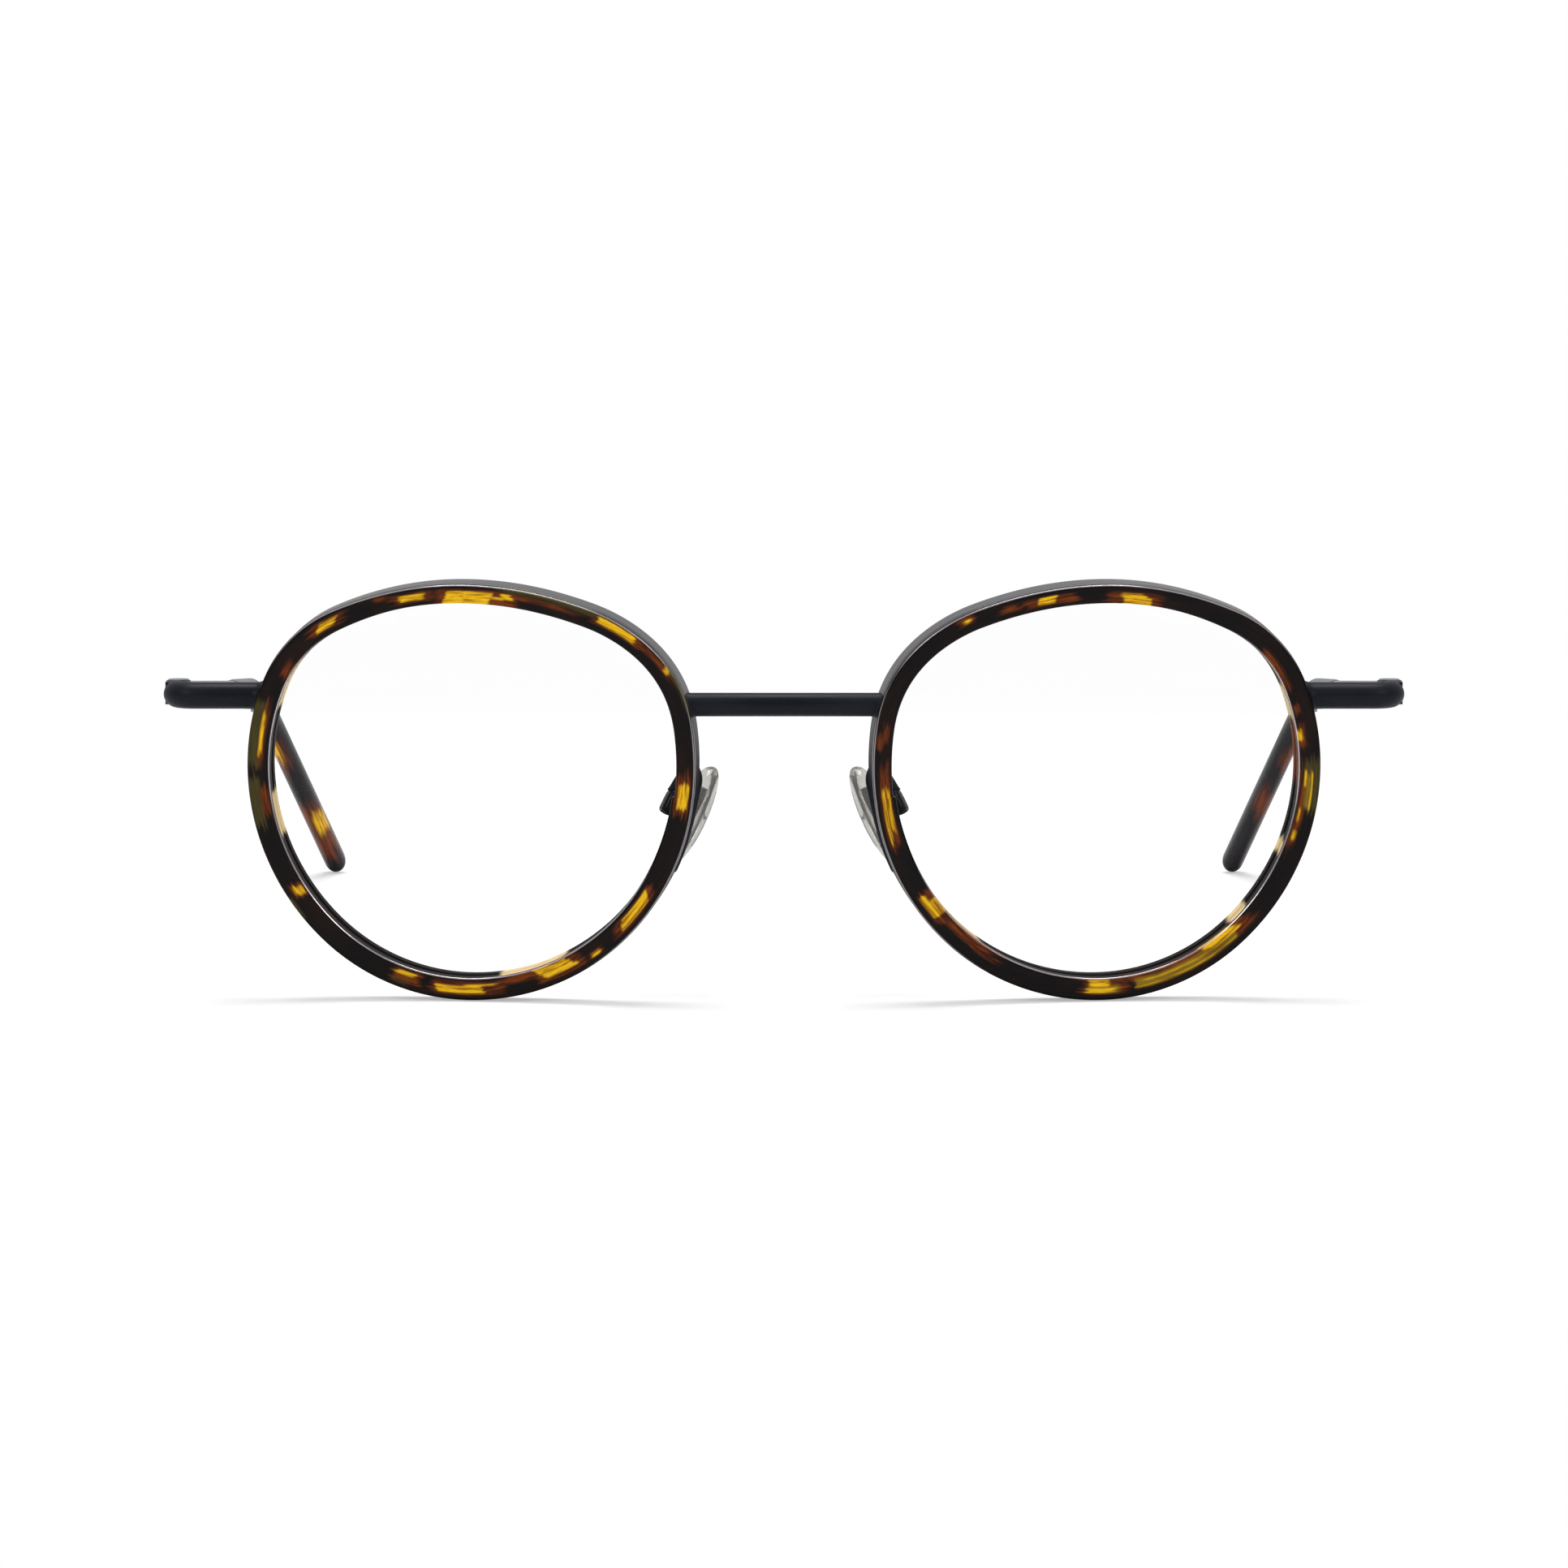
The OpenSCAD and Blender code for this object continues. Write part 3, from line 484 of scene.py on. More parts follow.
# ---- Rings -------------------------------------------------------------------------------------
# Clouds in the acetate: colour, first and last angle round the rim as the viewer sees it,
# lowest and highest offset from the lens line, softness in degrees, and the slant if any.
CLOUDS = {
    "left": [
        ("amber", -3.0, 3.6, 0.0, 1.1, 0.6), ("orange", -4.5, 6.0, -0.4, 1.2, 1.5),
        ("amber", 32.0, 33.4, 1.0, 1.5, 0.5, -1.0), ("orange", 31.0, 40.0, 0.8, 1.4, 2.5),
        ("amber", 43.2, 53.6, 0.65, 1.4, 0.4, -0.6), ("orange", 41.0, 54.5, 0.5, 1.45, 1.5),
        ("olive", 22.0, 36.0, 1.4, 2.4, 2.0), ("olive", 54.0, 80.0, 1.1, 2.4, 3.0),
        ("orange", 60.0, 79.0, 0.5, 1.0, 5.0), ("amber", 77.5, 80.2, 0.4, 1.0, 0.8),
        ("amber", 80.0, 86.0, 0.3, 0.5, 0.8), ("amber", 83.8, 97.2, -0.6, 0.95, 0.5, 1.2),
        ("orange", 76.0, 99.5, -0.6, 1.1, 1.6), ("amber", 102.8, 110.0, 0.25, 1.0, 0.8),
        ("orange", 100.5, 112.0, 0.1, 1.1, 2.0), ("orange", 113.0, 117.0, 0.9, 1.3, 1.5),
        ("amber", 128.6, 133.6, 0.15, 0.9, 0.6, 2.2),
        ("orange", 126.5, 135.5, 0.0, 1.1, 1.8, 1.5), ("orange", 144.5, 148.5, -0.7, 0.3, 1.5),
        ("amber", 159.8, 170.5, 0.1, 0.45, 1.0), ("olive", 157.0, 174.0, 0.2, 2.0, 1.5),
        ("orange", 157.5, 173.0, -0.1, 0.5, 2.0), ("olive", 177.0, 190.0, 0.3, 2.3, 1.5),
        ("orange", 179.0, 187.5, -0.5, 0.4, 1.5), ("amber", 209.4, 211.7, -0.45, 0.6, 0.6, 0.8),
        ("orange", 208.6, 212.4, -0.7, 0.9, 0.8, 0.6), ("olive", 211.0, 218.0, 1.3, 2.3, 1.2),
        ("amber", 247.8, 253.2, -0.3, 0.0, 0.8), ("olive", 247.2, 252.0, -0.2, 1.1, 0.8),
        ("orange", 247.0, 255.0, -0.5, 1.0, 1.2), ("amber", 260.0, 273.4, 0.1, 0.9, 0.5, -2.0),
        ("amber", 268.0, 278.0, -0.1, 0.12, 1.5), ("orange", 258.8, 280.0, -0.4, 1.05, 1.5),
        ("orange", 279.0, 291.0, -0.7, 0.1, 3.0), ("amber", 291.0, 301.2, -0.7, 0.65, 0.5, -2.6),
        ("orange", 289.8, 304.5, -0.8, 1.0, 1.4, -1.0), ("amber", 307.4, 310.2, 0.6, 0.95, 0.6),
        ("orange", 306.6, 311.0, 0.5, 1.1, 1.0), ("amber", 319.4, 331.0, -0.1, 0.8, 0.4, 2.4),
        ("orange", 317.0, 333.2, -0.25, 0.95, 1.6, 1.0),
        ("cream", 142.0, 157.5, -3.2, -0.92, 1.0), ("cream", 181.5, 194.0, -3.2, -0.92, 1.0),
        ("cream", 279.0, 300.0, -3.2, -0.92, 1.0),
    ],
    "right": [
        ("amber", -5.0, 4.6, 0.70, 0.82, 0.8), ("gold", -5.0, 4.0, 0.1, 0.7, 1.0),
        ("amber", 0.6, 5.2, -0.1, 0.08, 0.8), ("olive", -6.0, 7.8, -0.2, 2.3, 1.5),
        ("orange", -16.0, 5.5, -0.45, 0.2, 3.0), ("amber", 13.3, 15.9, -0.8, -0.2, 0.6),
        ("orange", 11.5, 17.2, -0.8, 0.2, 1.2), ("orange", 20.6, 23.0, -0.5, 0.1, 0.8),
        ("orange", 28.0, 39.5, -1.2, -0.05, 2.0), ("amber", 74.8, 82.8, -0.5, 0.35, 0.5),
        ("amber", 76.5, 83.4, 0.3, 0.8, 0.9), ("orange", 72.4, 87.0, -0.5, 0.85, 1.8),
        ("orange", 97.0, 111.5, 0.1, 0.95, 1.6), ("amber", 102.4, 107.6, 0.2, 1.0, 0.5, 0.8),
        ("orange", 113.5, 118.0, 0.3, 1.0, 1.5), ("orange", 125.6, 129.4, 0.6, 1.4, 1.0),
        ("amber", 126.6, 128.2, 0.75, 1.15, 0.8), ("orange", 163.6, 167.4, 0.75, 1.35, 0.8),
        ("orange", 160.8, 165.5, 0.2, 0.8, 1.2), ("orange", 171.5, 180.0, -0.1, 0.9, 2.0),
        ("amber", 178.0, 192.0, 0.5, 0.85, 1.2), ("amber", 177.6, 190.0, 0.02, 0.36, 1.2),
        ("orange", 177.0, 194.0, -0.1, 1.0, 1.6), ("amber", 209.6, 216.8, 0.0, 0.75, 0.4),
        ("amber", 211.8, 217.2, -0.9, 0.05, 0.4), ("orange", 209.0, 219.0, -0.9, 0.85, 1.0),
        ("orange", 216.0, 238.0, -0.9, 0.15, 4.0), ("orange", 230.5, 239.5, -0.1, 0.35, 1.5),
        ("amber", 267.2, 275.0, 0.25, 0.85, 0.8), ("amber", 267.6, 273.4, -0.7, 0.12, 0.8),
        ("orange", 266.0, 279.0, -0.7, 0.95, 1.8), ("gold", 267.0, 276.5, 0.0, 0.85, 1.0),
        ("amber", 281.4, 314.0, 0.60, 0.70, 0.5), ("gold", 281.4, 314.0, -0.35, 0.72, 0.6),
        ("amber", 284.0, 309.0, -0.02, 0.10, 3.0),
        ("amber", 304.6, 315.0, -0.9, 0.12, 0.8, -4.5),
        ("orange", 280.8, 319.5, -0.9, 0.75, 1.8, -3.5), ("gold", 297.0, 312.0, -0.1, 0.5, 2.0),
        ("orange", 343.6, 356.0, -0.55, 0.1, 1.5), ("amber", 345.0, 347.5, -0.3, 0.0, 0.8),
        ("amber", 350.5, 354.6, -0.35, -0.2, 1.0), ("gold", 354.5, 360.0, 0.1, 0.8, 1.0),
        ("orange", 354.0, 364.0, -0.6, 0.0, 2.0), ("cream", 19.0, 28.5, -3.2, -0.92, 1.0),
        ("cream", 215.0, 231.5, -3.2, -0.92, 1.0), ("cream", 315.0, 321.5, -3.2, -0.92, 1.0),
        ("cream", 340.0, 344.0, -3.2, -0.92, 1.0), ("orange", 1.0, 18.0, -3.2, -0.92, 2.0),
    ],
}


def wobble(x, y, seed):
    """Smooth noise for each pair of coordinates."""
    flat = [noise.noise(Vector((a, b, seed))) for a, b in zip(np.ravel(x), np.ravel(y))]
    return np.reshape(flat, np.shape(x))


def cloud_values(clouds, along, across, soft_across, period=None, unit=1.0):
    """Strength of each colour at (along, across); edges run in fingers along the piece."""
    out = {key: np.zeros_like(along) for key in ("amber", "gold", "orange", "olive", "cream")}
    finger = wobble(along * 0.12, across / unit * 6.0, 3.1)
    ripple = wobble(along * 0.3, across / unit * 1.5, 8.7)
    for colour, first, last, low, high, soft, *slant in clouds:
        t = along - (first + last) / 2
        if period:
            t = (t + period / 2) % period - period / 2
        off = across - (low + high) / 2
        t = t + sum(slant) * off
        edge_t = (last - first) / 2 - np.abs(t + finger * soft * 1.6)
        edge_r = (high - low) / 2 - np.abs(off + 0.03 * unit * ripple)
        soft_t = (1.8 if colour in ("orange", "olive") else 1.7) * soft
        soft_r = soft_across if colour in ("amber", "cream") else 3.5 * soft_across
        strength = smoothstep(edge_t / soft_t + 0.5) * smoothstep(edge_r / soft_r + 0.5)
        out[colour] = np.maximum(out[colour], strength)
    return out


# Sections of the ring and of the band: (offset from the lens line, depth, corner radius)
BAND_IN = RIM_OUT - WIRE_T
ring_profile = filled(rounded([
    (-LIP, 0.0, 0.34), (RIM_OUT, 0.0, 0.36), (RIM_OUT, LIP_T - GAP, 0.06),
    (BAND_IN - GAP, LIP_T - GAP, 0.0), (BAND_IN - GAP, RING_D, 0.12),
    (-LIP, RING_D, 0.3), (-LIP, GROOVE_N + BEVEL_H, 0.04), (GAP, GROOVE_N, 0.0),
    (-LIP, GROOVE_N - BEVEL_H, 0.04),
]), 0.14)
band_profile = filled(rounded([
    (BAND_IN, LIP_T, 0.05), (RIM_OUT, LIP_T, 0.1), (RIM_OUT, RIM_D, 0.14), (BAND_IN, RIM_D, 0.1),
]), 0.6)


def rim_rings(profile, line, normal):
    return np.stack([rim_world(line, normal, r, n) for r, n in profile], 1)


def deeper_lip(turn):
    """Ring's section at each angle: its lip reaches further over the lens low and outside.

    The angle runs from the nose over the top to the temple.
    """
    r, n = ring_profile.T
    reach = 0.42 * bump_at(turn, 245.0, 118.0, 40.0)
    share = smoothstep((0.75 - r) / 1.2) * np.where(n > 1.2, r < -0.3, 1)
    return r[None] - reach[:, None] * share[None], n


def shell_coords(line, profile):
    """Run along the rim, and the two coordinates of the section, for each vertex."""
    step = np.linalg.norm(np.roll(line, -1, 0) - line, axis=1)
    run = np.concatenate([[0], np.cumsum(step)[:-1]])
    uv = np.zeros((len(line), len(profile), 3))
    uv[..., 0] = run[:, None]
    uv[..., 1:] = profile[None]
    return uv


FRONT_N = 0.34  # the ring's front face ends at this depth


def highlight_paint(turn):
    """Painted highlight lines, pale and metallic: the lip's inner edge low and at the temple, its
    outer edge on top and at the nose.

    The angle runs from the nose over the top to the temple.
    """
    r, n = ring_profile.T
    inside = bump_at(r, -LIP + 0.09, 0.045, 0.05) * (n < FRONT_N)
    outside = bump_at(r, RIM_OUT - 0.11, 0.04, 0.05) * (n < FRONT_N)
    low = 0.85 * bump_at(turn, 235.0, 95.0, 24.0)
    top = 0.95 * bump_at(turn, 88.0, 52.0, 24.0)
    nose = 0.6 * bump_at((turn + 180) % 360, 168.0, 38.0, 20.0)
    return np.maximum(low[:, None] * inside[None], np.maximum(top, nose)[:, None] * outside[None])


# On the inner wall a cloud's offset runs on with the depth
section_r, section_n = ring_profile.T
on_wall = (section_r < 0.3) & (section_n > 0.3)
wall_offset = np.where(on_wall, -LIP - 0.6 * (section_n - 0.3), section_r)
for name, side in SIDES:
    theta = np.degrees(np.arctan2(rim_line[:, 1], side * rim_line[:, 0])) % 360
    from_nose = theta if side < 0 else (180 - theta) % 360
    deep, level = deeper_lip(from_nose)
    along_grid = np.repeat(theta[:, None], len(ring_profile), 1)
    across_grid = wall_offset[None] + deep - section_r[None]
    values = cloud_values(CLOUDS[name], along_grid, across_grid, 0.14, period=360)
    # Where the ring's edges carry a painted highlight line
    values["highlight_paint"] = highlight_paint(from_nose)
    values["wall"] = np.repeat(((section_n > 0.4) & on_wall)[None], len(rim_line), 0)
    values["shell_uv"] = shell_coords(rim_line, ring_profile) + [40.0 * side, 0, 0]
    rings = np.stack([rim_world(rim_line, rim_normal, deep[:, k:k + 1], level[k])
                      for k in range(len(level))], 1)
    skin(f"{name}_ring_shell", rings, "front", acetate, [f"{name}_rim_ring"],
         side, loop_rows=True, values=values)


# ---- Eyewires, split behind the end piece ------------------------------------------------------
def wall_station(arcs, height):
    """Centre, radius and angle of the arc on which the rim's outer wall has this height."""
    for centre, radius, first, last in arcs:
        share = (height - centre[1]) / (radius + RIM_OUT)
        if abs(share) <= 1:
            a = math.degrees(math.asin(share))
            a = 180 - a if first >= 90 and last >= 90 else a
            if min(first, last) - 0.01 <= a <= max(first, last) + 0.01:
                return centre, radius, a


SPLIT_DROP, SPLIT_HALF = 0.6, 0.06
end_c, end_r, end_angle = wall_station(OUTER, END_RISE)
_, _, lock_angle = wall_station(OUTER, END_RISE - SPLIT_DROP)
split_turn = math.degrees(SPLIT_HALF / (end_r + RIM_OUT))
wire_line, wire_normal = outline(0.3)
wire_angle = np.degrees(np.arctan2(wire_normal[:, 1], wire_normal[:, 0]))
on_outer = wire_line[:, 0] > APEX
gap_at = int(np.argmax((wire_angle < lock_angle - split_turn) & on_outer))
wire_line, wire_normal = np.roll(wire_line, -gap_at, 0), np.roll(wire_normal, -gap_at, 0)
ends = [direction(lock_angle + t) for t in (-split_turn, split_turn)]
keep = np.ones(len(wire_line), bool)
keep[[0, -1]] = False
wire_line = np.vstack([end_c + end_r * ends[0], wire_line[keep], end_c + end_r * ends[1]])
wire_normal = np.vstack([ends[0], wire_normal[keep], ends[1]])
# How far the band faces up, where its paint takes a coat
facing_up = smoothstep((wire_normal[:, 1] + 0.1) / 0.6)
sky = np.repeat(facing_up[:, None], len(band_profile), 1)
band_rings = rim_rings(band_profile, wire_line, wire_normal)
for name, side in SIDES:
    skin(f"{name}_wire_band", band_rings, "front", band, [f"{name}_eyewire"], side,
         values={"sky": sky})


# ---- Lenses ------------------------------------------------------------------------------------
lens_line, lens_normal = outline(0.4)


def lens_sheet(n, fractions):
    """Rings on one face of the lens, at fractions of the way from its centre to the lip."""
    points = [f * (lens_line - LIP * lens_normal) for f in fractions]
    return [turned(p[:, 0], p[:, 1], n + sag(p)) + [0, CY, RIM_CZ] for p in points]


front_n, back_n = GROOVE_N - LENS_T / 2, GROOVE_N + LENS_T / 2
fractions = [0.02, 0.2, 0.4, 0.6, 0.8, 0.93]
edge_rows = [rim_world(lens_line, lens_normal, r, n) for r, n in (
    (-LIP - GAP, front_n), (-LIP - GAP, GROOVE_N - BEVEL_H + GAP), (-GAP, GROOVE_N),
    (-LIP - GAP, GROOVE_N + BEVEL_H - GAP), (-LIP - GAP, back_n))]
lens_rings = lens_sheet(front_n, fractions) + edge_rows + lens_sheet(back_n, fractions[::-1])
for name, side in SIDES:
    skin(f"{name}_lens_glass", lens_rings, "front", glass, [f"{name}_lens"], side)


# ---- Bridge bar and end pieces -----------------------------------------------------------------
def meet_wall(y, z, x_near, x_far, centre, radius):
    """x where the line along X at (y, z) meets the rim's outer wall."""
    lo, hi = x_near, x_far
    for _ in range(50):
        mid = (lo + hi) / 2
        u, _, v = rim_local(np.array([mid, y, z]))
        outside = math.hypot(u - centre[0], v - centre[1]) > radius + RIM_OUT
        lo, hi = (mid, hi) if outside else (lo, mid)
    return (lo + hi) / 2


def root(centre, radius, angle):
    """Middle of a bar's joint on the rim's outer wall."""
    line = centre + radius * direction(angle)
    return rim_world(line, direction(angle), RIM_OUT, LIP_T + WIRE_D / 2)


inner_c, inner_r, bridge_angle = wall_station(INNER, BRIDGE_RISE)
bridge_root = root(inner_c, inner_r, bridge_angle)
end_root = root(end_c, end_r, end_angle)
ROUND = 64
ring_turn = 2 * np.pi * np.arange(ROUND) / ROUND
FILLET_STEPS = [0.0, 0.12, 0.25, 0.4, 0.6, 0.9]


def flare(from_wall, reach=0.9, grow=0.28):
    """Growth of a bar's radius into its brazed fillet, by distance from the wall."""
    return grow * np.clip(1 - from_wall / reach, 0, 1) ** 2.4


def bridge_rings():
    rows = []
    for d in FILLET_STEPS + [2.5, 5.0, 8.0]:
        rad = BRIDGE_D / 2 + flare(d)
        y = bridge_root[1] + rad * np.cos(ring_turn)
        z = bridge_root[2] + rad * np.sin(ring_turn)
        wall = np.array([meet_wall(a, b, 0.0, RIM_CX, inner_c, inner_r) for a, b in zip(y, z)])
        rows.append(np.stack([wall - d, y, z], -1))
    right = np.array(rows)
    return np.concatenate([right, right[::-1] * [-1, 1, 1]])


skin("bridge_tube", bridge_rings(), "front", navy, ["bridge_bar"])

HINGE_X = HINGE_SPAN / 2
HINGE_Z = end_root[2]
HINGE_Y = end_root[1] + ELBOW_R + LEG_L + KNUCKLE_R + WEB_L + BLOCK_L


def end_piece_rings():
    """Bar from the rim outward, bent back at the elbow into its short leg."""
    rows = []
    for d in FILLET_STEPS:
        rad = END_D / 2 + flare(d)
        y = end_root[1] - rad * np.cos(ring_turn)
        z = HINGE_Z + rad * np.sin(ring_turn)
        wall = np.array([meet_wall(a, b, HINGE_X, end_root[0] - 6, end_c, end_r)
                         for a, b in zip(y, z)])
        rows.append(np.stack([wall + d, y, z], -1))
    rad = END_D / 2
    y = -rad * np.cos(ring_turn)
    z = HINGE_Z + rad * np.sin(ring_turn)
    straight_end = HINGE_X - ELBOW_R
    wall_far = rows[-1][:, 0].max()
    for x in np.linspace(wall_far + 0.4, straight_end, 5):
        rows.append(np.stack([np.full(ROUND, x), end_root[1] + y, z], -1))
    for a in np.linspace(0, np.pi / 2, 17)[1:]:
        cx = straight_end + (ELBOW_R - y) * np.sin(a)
        cy = end_root[1] + ELBOW_R - (ELBOW_R - y) * np.cos(a)
        rows.append(np.stack([cx, cy, z], -1))
    leg_end = end_root[1] + ELBOW_R + LEG_L
    for shrink, back in ((0.0, 0.16), (0.02, 0.08), (0.06, 0.03), (0.14, 0.0)):
        k = 1 - shrink / rad
        rows.append(np.stack([HINGE_X - k * y, np.full(ROUND, leg_end - back),
                              HINGE_Z + k * (z - HINGE_Z)], -1))
    return np.array(rows)


for name, side in SIDES:
    skin(f"{name}_end_tube", end_piece_rings(), "front", navy, [f"{name}_end_piece"],
         side)


# ---- Temples -----------------------------------------------------------------------------------
hinge = np.array([HINGE_X, HINGE_Y, HINGE_Z])
bend_end = STRAIGHT_L + BEND_R * BEND_A
tip_end = bend_end + DROP_L
round_l = DROP_L - TIP_H / 2
end_p = STRAIGHT_L + BEND_R * math.sin(BEND_A) + round_l * math.cos(BEND_A)
fall = (BEND_R * (1 - math.cos(BEND_A)) + round_l * math.sin(BEND_A)) * math.cos(BEND_TURN)
tip_reach = math.hypot(TIP_H * math.cos(BEND_TURN), TIP_W * math.sin(BEND_TURN)) / 2
SLOPE = math.asin((HINGE_Z - tip_reach) / math.hypot(end_p, fall)) - math.atan2(fall, end_p)
temple_turn = np.array(Matrix.Rotation(math.pi / 2 + TEMPLE_IN, 3, "Z")
                       @ Matrix.Rotation(SLOPE, 3, "Y") @ Matrix.Rotation(BEND_TURN, 3, "X"))


def temple_world(p):
    return p @ temple_turn.T + hinge


def heading(s):
    """Downward angle of the temple's line at run s from the hinge."""
    return float(np.clip((s - STRAIGHT_L) / BEND_R, 0, BEND_A))


def line_at(s):
    h, on = heading(s), max(0.0, s - bend_end)
    return np.array([min(s, STRAIGHT_L) + BEND_R * math.sin(h) + on * math.cos(h), 0,
                     -BEND_R * (1 - math.cos(h)) - on * math.sin(h)])


def oval(s, w, h, power=1.0):
    """Ring round the line at run s; a power under 1 makes it squarer."""
    cos, sin = np.cos(ring_turn), np.sin(ring_turn)
    y = w / 2 * np.sign(cos) * np.abs(cos) ** power
    z = h / 2 * np.sign(sin) * np.abs(sin) ** power
    hd = heading(s)
    return line_at(s) + np.stack([z * math.sin(hd), y, z * math.cos(hd)], -1)


# Rows of the bar: run and growth of the radius; behind it the wire core of the tip
bar_start = KNUCKLE_R + 0.55
bar_rows = [(bar_start + on, grow) for on, grow in (
    (0.0, -0.3), (0.03, -0.16), (0.1, -0.05), (0.22, 0.0))]
bar_rows += [(s, 0) for s in np.linspace(bar_start + 1, TIP_START - 0.5, 12)]
bar_rows += [(TIP_START - 0.12, 0.0), (TIP_START - 0.04, -0.05), (TIP_START, -0.14)]
bar_rings = [oval(s, TEMPLE_D + 2 * g, TEMPLE_D + 2 * g) for s, g in bar_rows]
bar_rings += [oval(s, CORE_D, CORE_D)
              for s in np.linspace(TIP_START + 0.01, tip_end - CORE_SHORT, 40)]


def tip_height(s):
    return TIP_W + (TIP_H - TIP_W) * (s - TIP_START) / (tip_end - TIP_START)


# Rows of the tip: run, width and height, with a taper in front and a round end
tip_rows = [(TIP_START + GAP + on, TIP_W - less, TIP_W - less) for on, less in (
    (0.0, 0.34), (0.05, 0.28), (0.4, 0.24), (1.2, 0.15), (2.2, 0.06), (3.2, 0.015))]
cap_start = tip_end - TIP_H / 2
tip_rows += [(s, TIP_W, tip_height(s)) for s in np.arange(TIP_START + 4.2, cap_start, 0.35)]
tip_rows += [(cap_start + TIP_H / 2 * math.sin(a), TIP_W * math.cos(a), TIP_H * math.cos(a))
             for a in np.radians([6, 14, 22, 31, 40, 49, 58, 66, 74, 81, 87])]
tip_rings = [oval(s, w, h, power=0.94) for s, w, h in tip_rows]
tip_s = np.array([row[0] for row in tip_rows])

# Clouds on a tip: run from the hinge, and angle round it (0 toward the head, 90 on top)
TIP_CLOUDS = {
    "left": [
        ("orange", 111, 119, 180, 280, 2), ("amber", 113, 117, 205, 258, 1.5, 0.02),
        ("amber", 129.5, 133.6, 262, 345, 1.0), ("orange", 127.5, 139, 190, 350, 2),
        ("amber", 84, 92, 150, 200, 2), ("orange", 80, 97, 145, 205, 3),
        ("amber", 101, 106, 0, 50, 1.5), ("orange", 98, 108, 0, 60, 3),
        ("olive", 104, 140, 60, 170, 6), ("amber", 122, 129, 110, 150, 1.5),
    ],
    "right": [
        ("orange", 113, 118.5, 185, 262, 2), ("orange", 124.5, 129.5, 195, 300, 2, 0.02),
        ("orange", 86, 98, 145, 205, 3), ("amber", 88, 93, 155, 195, 2),
        ("olive", 104, 140, 60, 170, 6), ("amber", 103, 108, 0, 40, 1.5),
        ("orange", 132, 140, 20, 120, 3), ("amber", 117, 121, 120, 165, 1.5),
    ],
}
rod_sky = np.tile(smoothstep(np.sin(ring_turn)), (len(bar_rings), 1))
along_grid, across_grid = np.meshgrid(tip_s, np.degrees(ring_turn), indexing="ij")
for name, side in SIDES:
    body = f"{name}_temple"
    skin(f"{name}_temple_rod", [temple_world(r) for r in bar_rings], body, rod_paint,
         [f"{name}_temple_bar"], side, values={"sky": rod_sky})
    values = cloud_values(TIP_CLOUDS[name], along_grid, across_grid, 24.0, unit=60.0)
    # The tips carry no painted highlight and no rough wall
    values["highlight_paint"] = values["wall"] = np.zeros_like(along_grid)
    values["shell_uv"] = np.stack([along_grid + 300 * side,
                                   TIP_W / 2 * np.cos(np.radians(across_grid)),
                                   TIP_H / 2 * np.sin(np.radians(across_grid))], -1)
    skin(f"{name}_tip_shell", [temple_world(r) for r in tip_rings], body, tip_acetate,
         [f"{name}_temple_tip"], side, values=values)


# ---- Nose pads and their arms ------------------------------------------------------------------
pad_turn = np.array(Matrix.Rotation(-PAD_SPLAY, 3, "Z") @ Matrix.Rotation(-PAD_FRONTAL, 3, "Y"))
pad_at = PAD_AT + [0, CY, 0]


def pad_world(p):
    return np.asarray(p, float) @ pad_turn.T + pad_at


PAD_SIDES, PAD_EXTRA = 72, 0.7  # the drawn pad is this much thicker than the solid


def pad_rings():
    """Egg-shaped pad, flat on its box and domed toward the nose."""
    rows = []
    a = 2 * np.pi * np.arange(PAD_SIDES) / PAD_SIDES
    narrow = 1 - 0.14 * np.sin(a)
    egg = np.stack([PAD_W / 2 * narrow * np.cos(a), PAD_L / 2 * np.sin(a)], -1)
    back = [(f, 0.0) for f in (0.05, 0.3, 0.5, 0.7)]
    edge = [(0.8 + 0.2 * math.sin(t), 0.42 - 0.42 * math.cos(t))
            for t in np.radians(np.arange(0, 91, 9))]
    dome = [(math.cos(t), 0.42 + 0.57 * math.sin(t)) for t in np.radians(np.arange(8, 90, 5))]
    for f, x in back + edge + dome:
        at = np.full(PAD_SIDES, -PAD_OFF - x * (PAD_T + PAD_EXTRA))
        rows.append(np.stack([at, f * egg[:, 0], f * egg[:, 1] - PAD_DROP], -1))
    return np.array(rows)


def spline(points, steps):
    """Smooth curve through the points, with steps pieces between two of them."""
    q = np.asarray(points, float)
    last = len(q) - 1
    out = []
    for i in range(last):
        p0, p1, p2, p3 = q[max(i - 1, 0)], q[i], q[i + 1], q[min(i + 2, last)]
        for t in np.arange(steps) / steps:
            out.append(0.5 * (2 * p1 + (p2 - p0) * t + (2 * p0 - 5 * p1 + 4 * p2 - p3) * t * t
                              + (3 * p1 - p0 - 3 * p2 + p3) * t ** 3))
    return np.vstack([out, q[last]])


side_c, side_r = INNER[2][:2]


def inner_side_point(v, r, n):
    """Point of the rim's frame on the nose side at height v."""
    a = 180 - math.degrees(math.asin((v - side_c[1]) / side_r))
    return rim_world(side_c + side_r * direction(a), direction(a), r, n)


behind_n = RIM_D + ARM_D / 2 + GAP
arm_points = [inner_side_point(ARM_FOOT + v, RIM_OUT + r, behind_n + n) for v, r, n in (
    (0, -0.4, 0), (2.6, -0.45, 0), (5.6, -0.5, 0.1), (8.2, -0.45, 0.7), (10, -0.4, 1.5),
    (11, -1.2, 2.9))]
arm_end = np.array([BOX_REACH - ARM_D / 2, 0, BOX_H / 2 + GAP / 2])
arm_points += [pad_world(arm_end + p) for p in ((0, -0.9, 2.8), (0, 0, 1.3), (0.1, 0, 0.2))]
arm_line = np.vstack([spline(arm_points, 14), pad_world(arm_end + [0.2, 0, -0.3])])
arm_radius = np.full(len(arm_line), ARM_D / 2)
arm_radius[:4] = [ARM_D / 2 * k for k in (0.35, 0.72, 0.9, 0.98)]
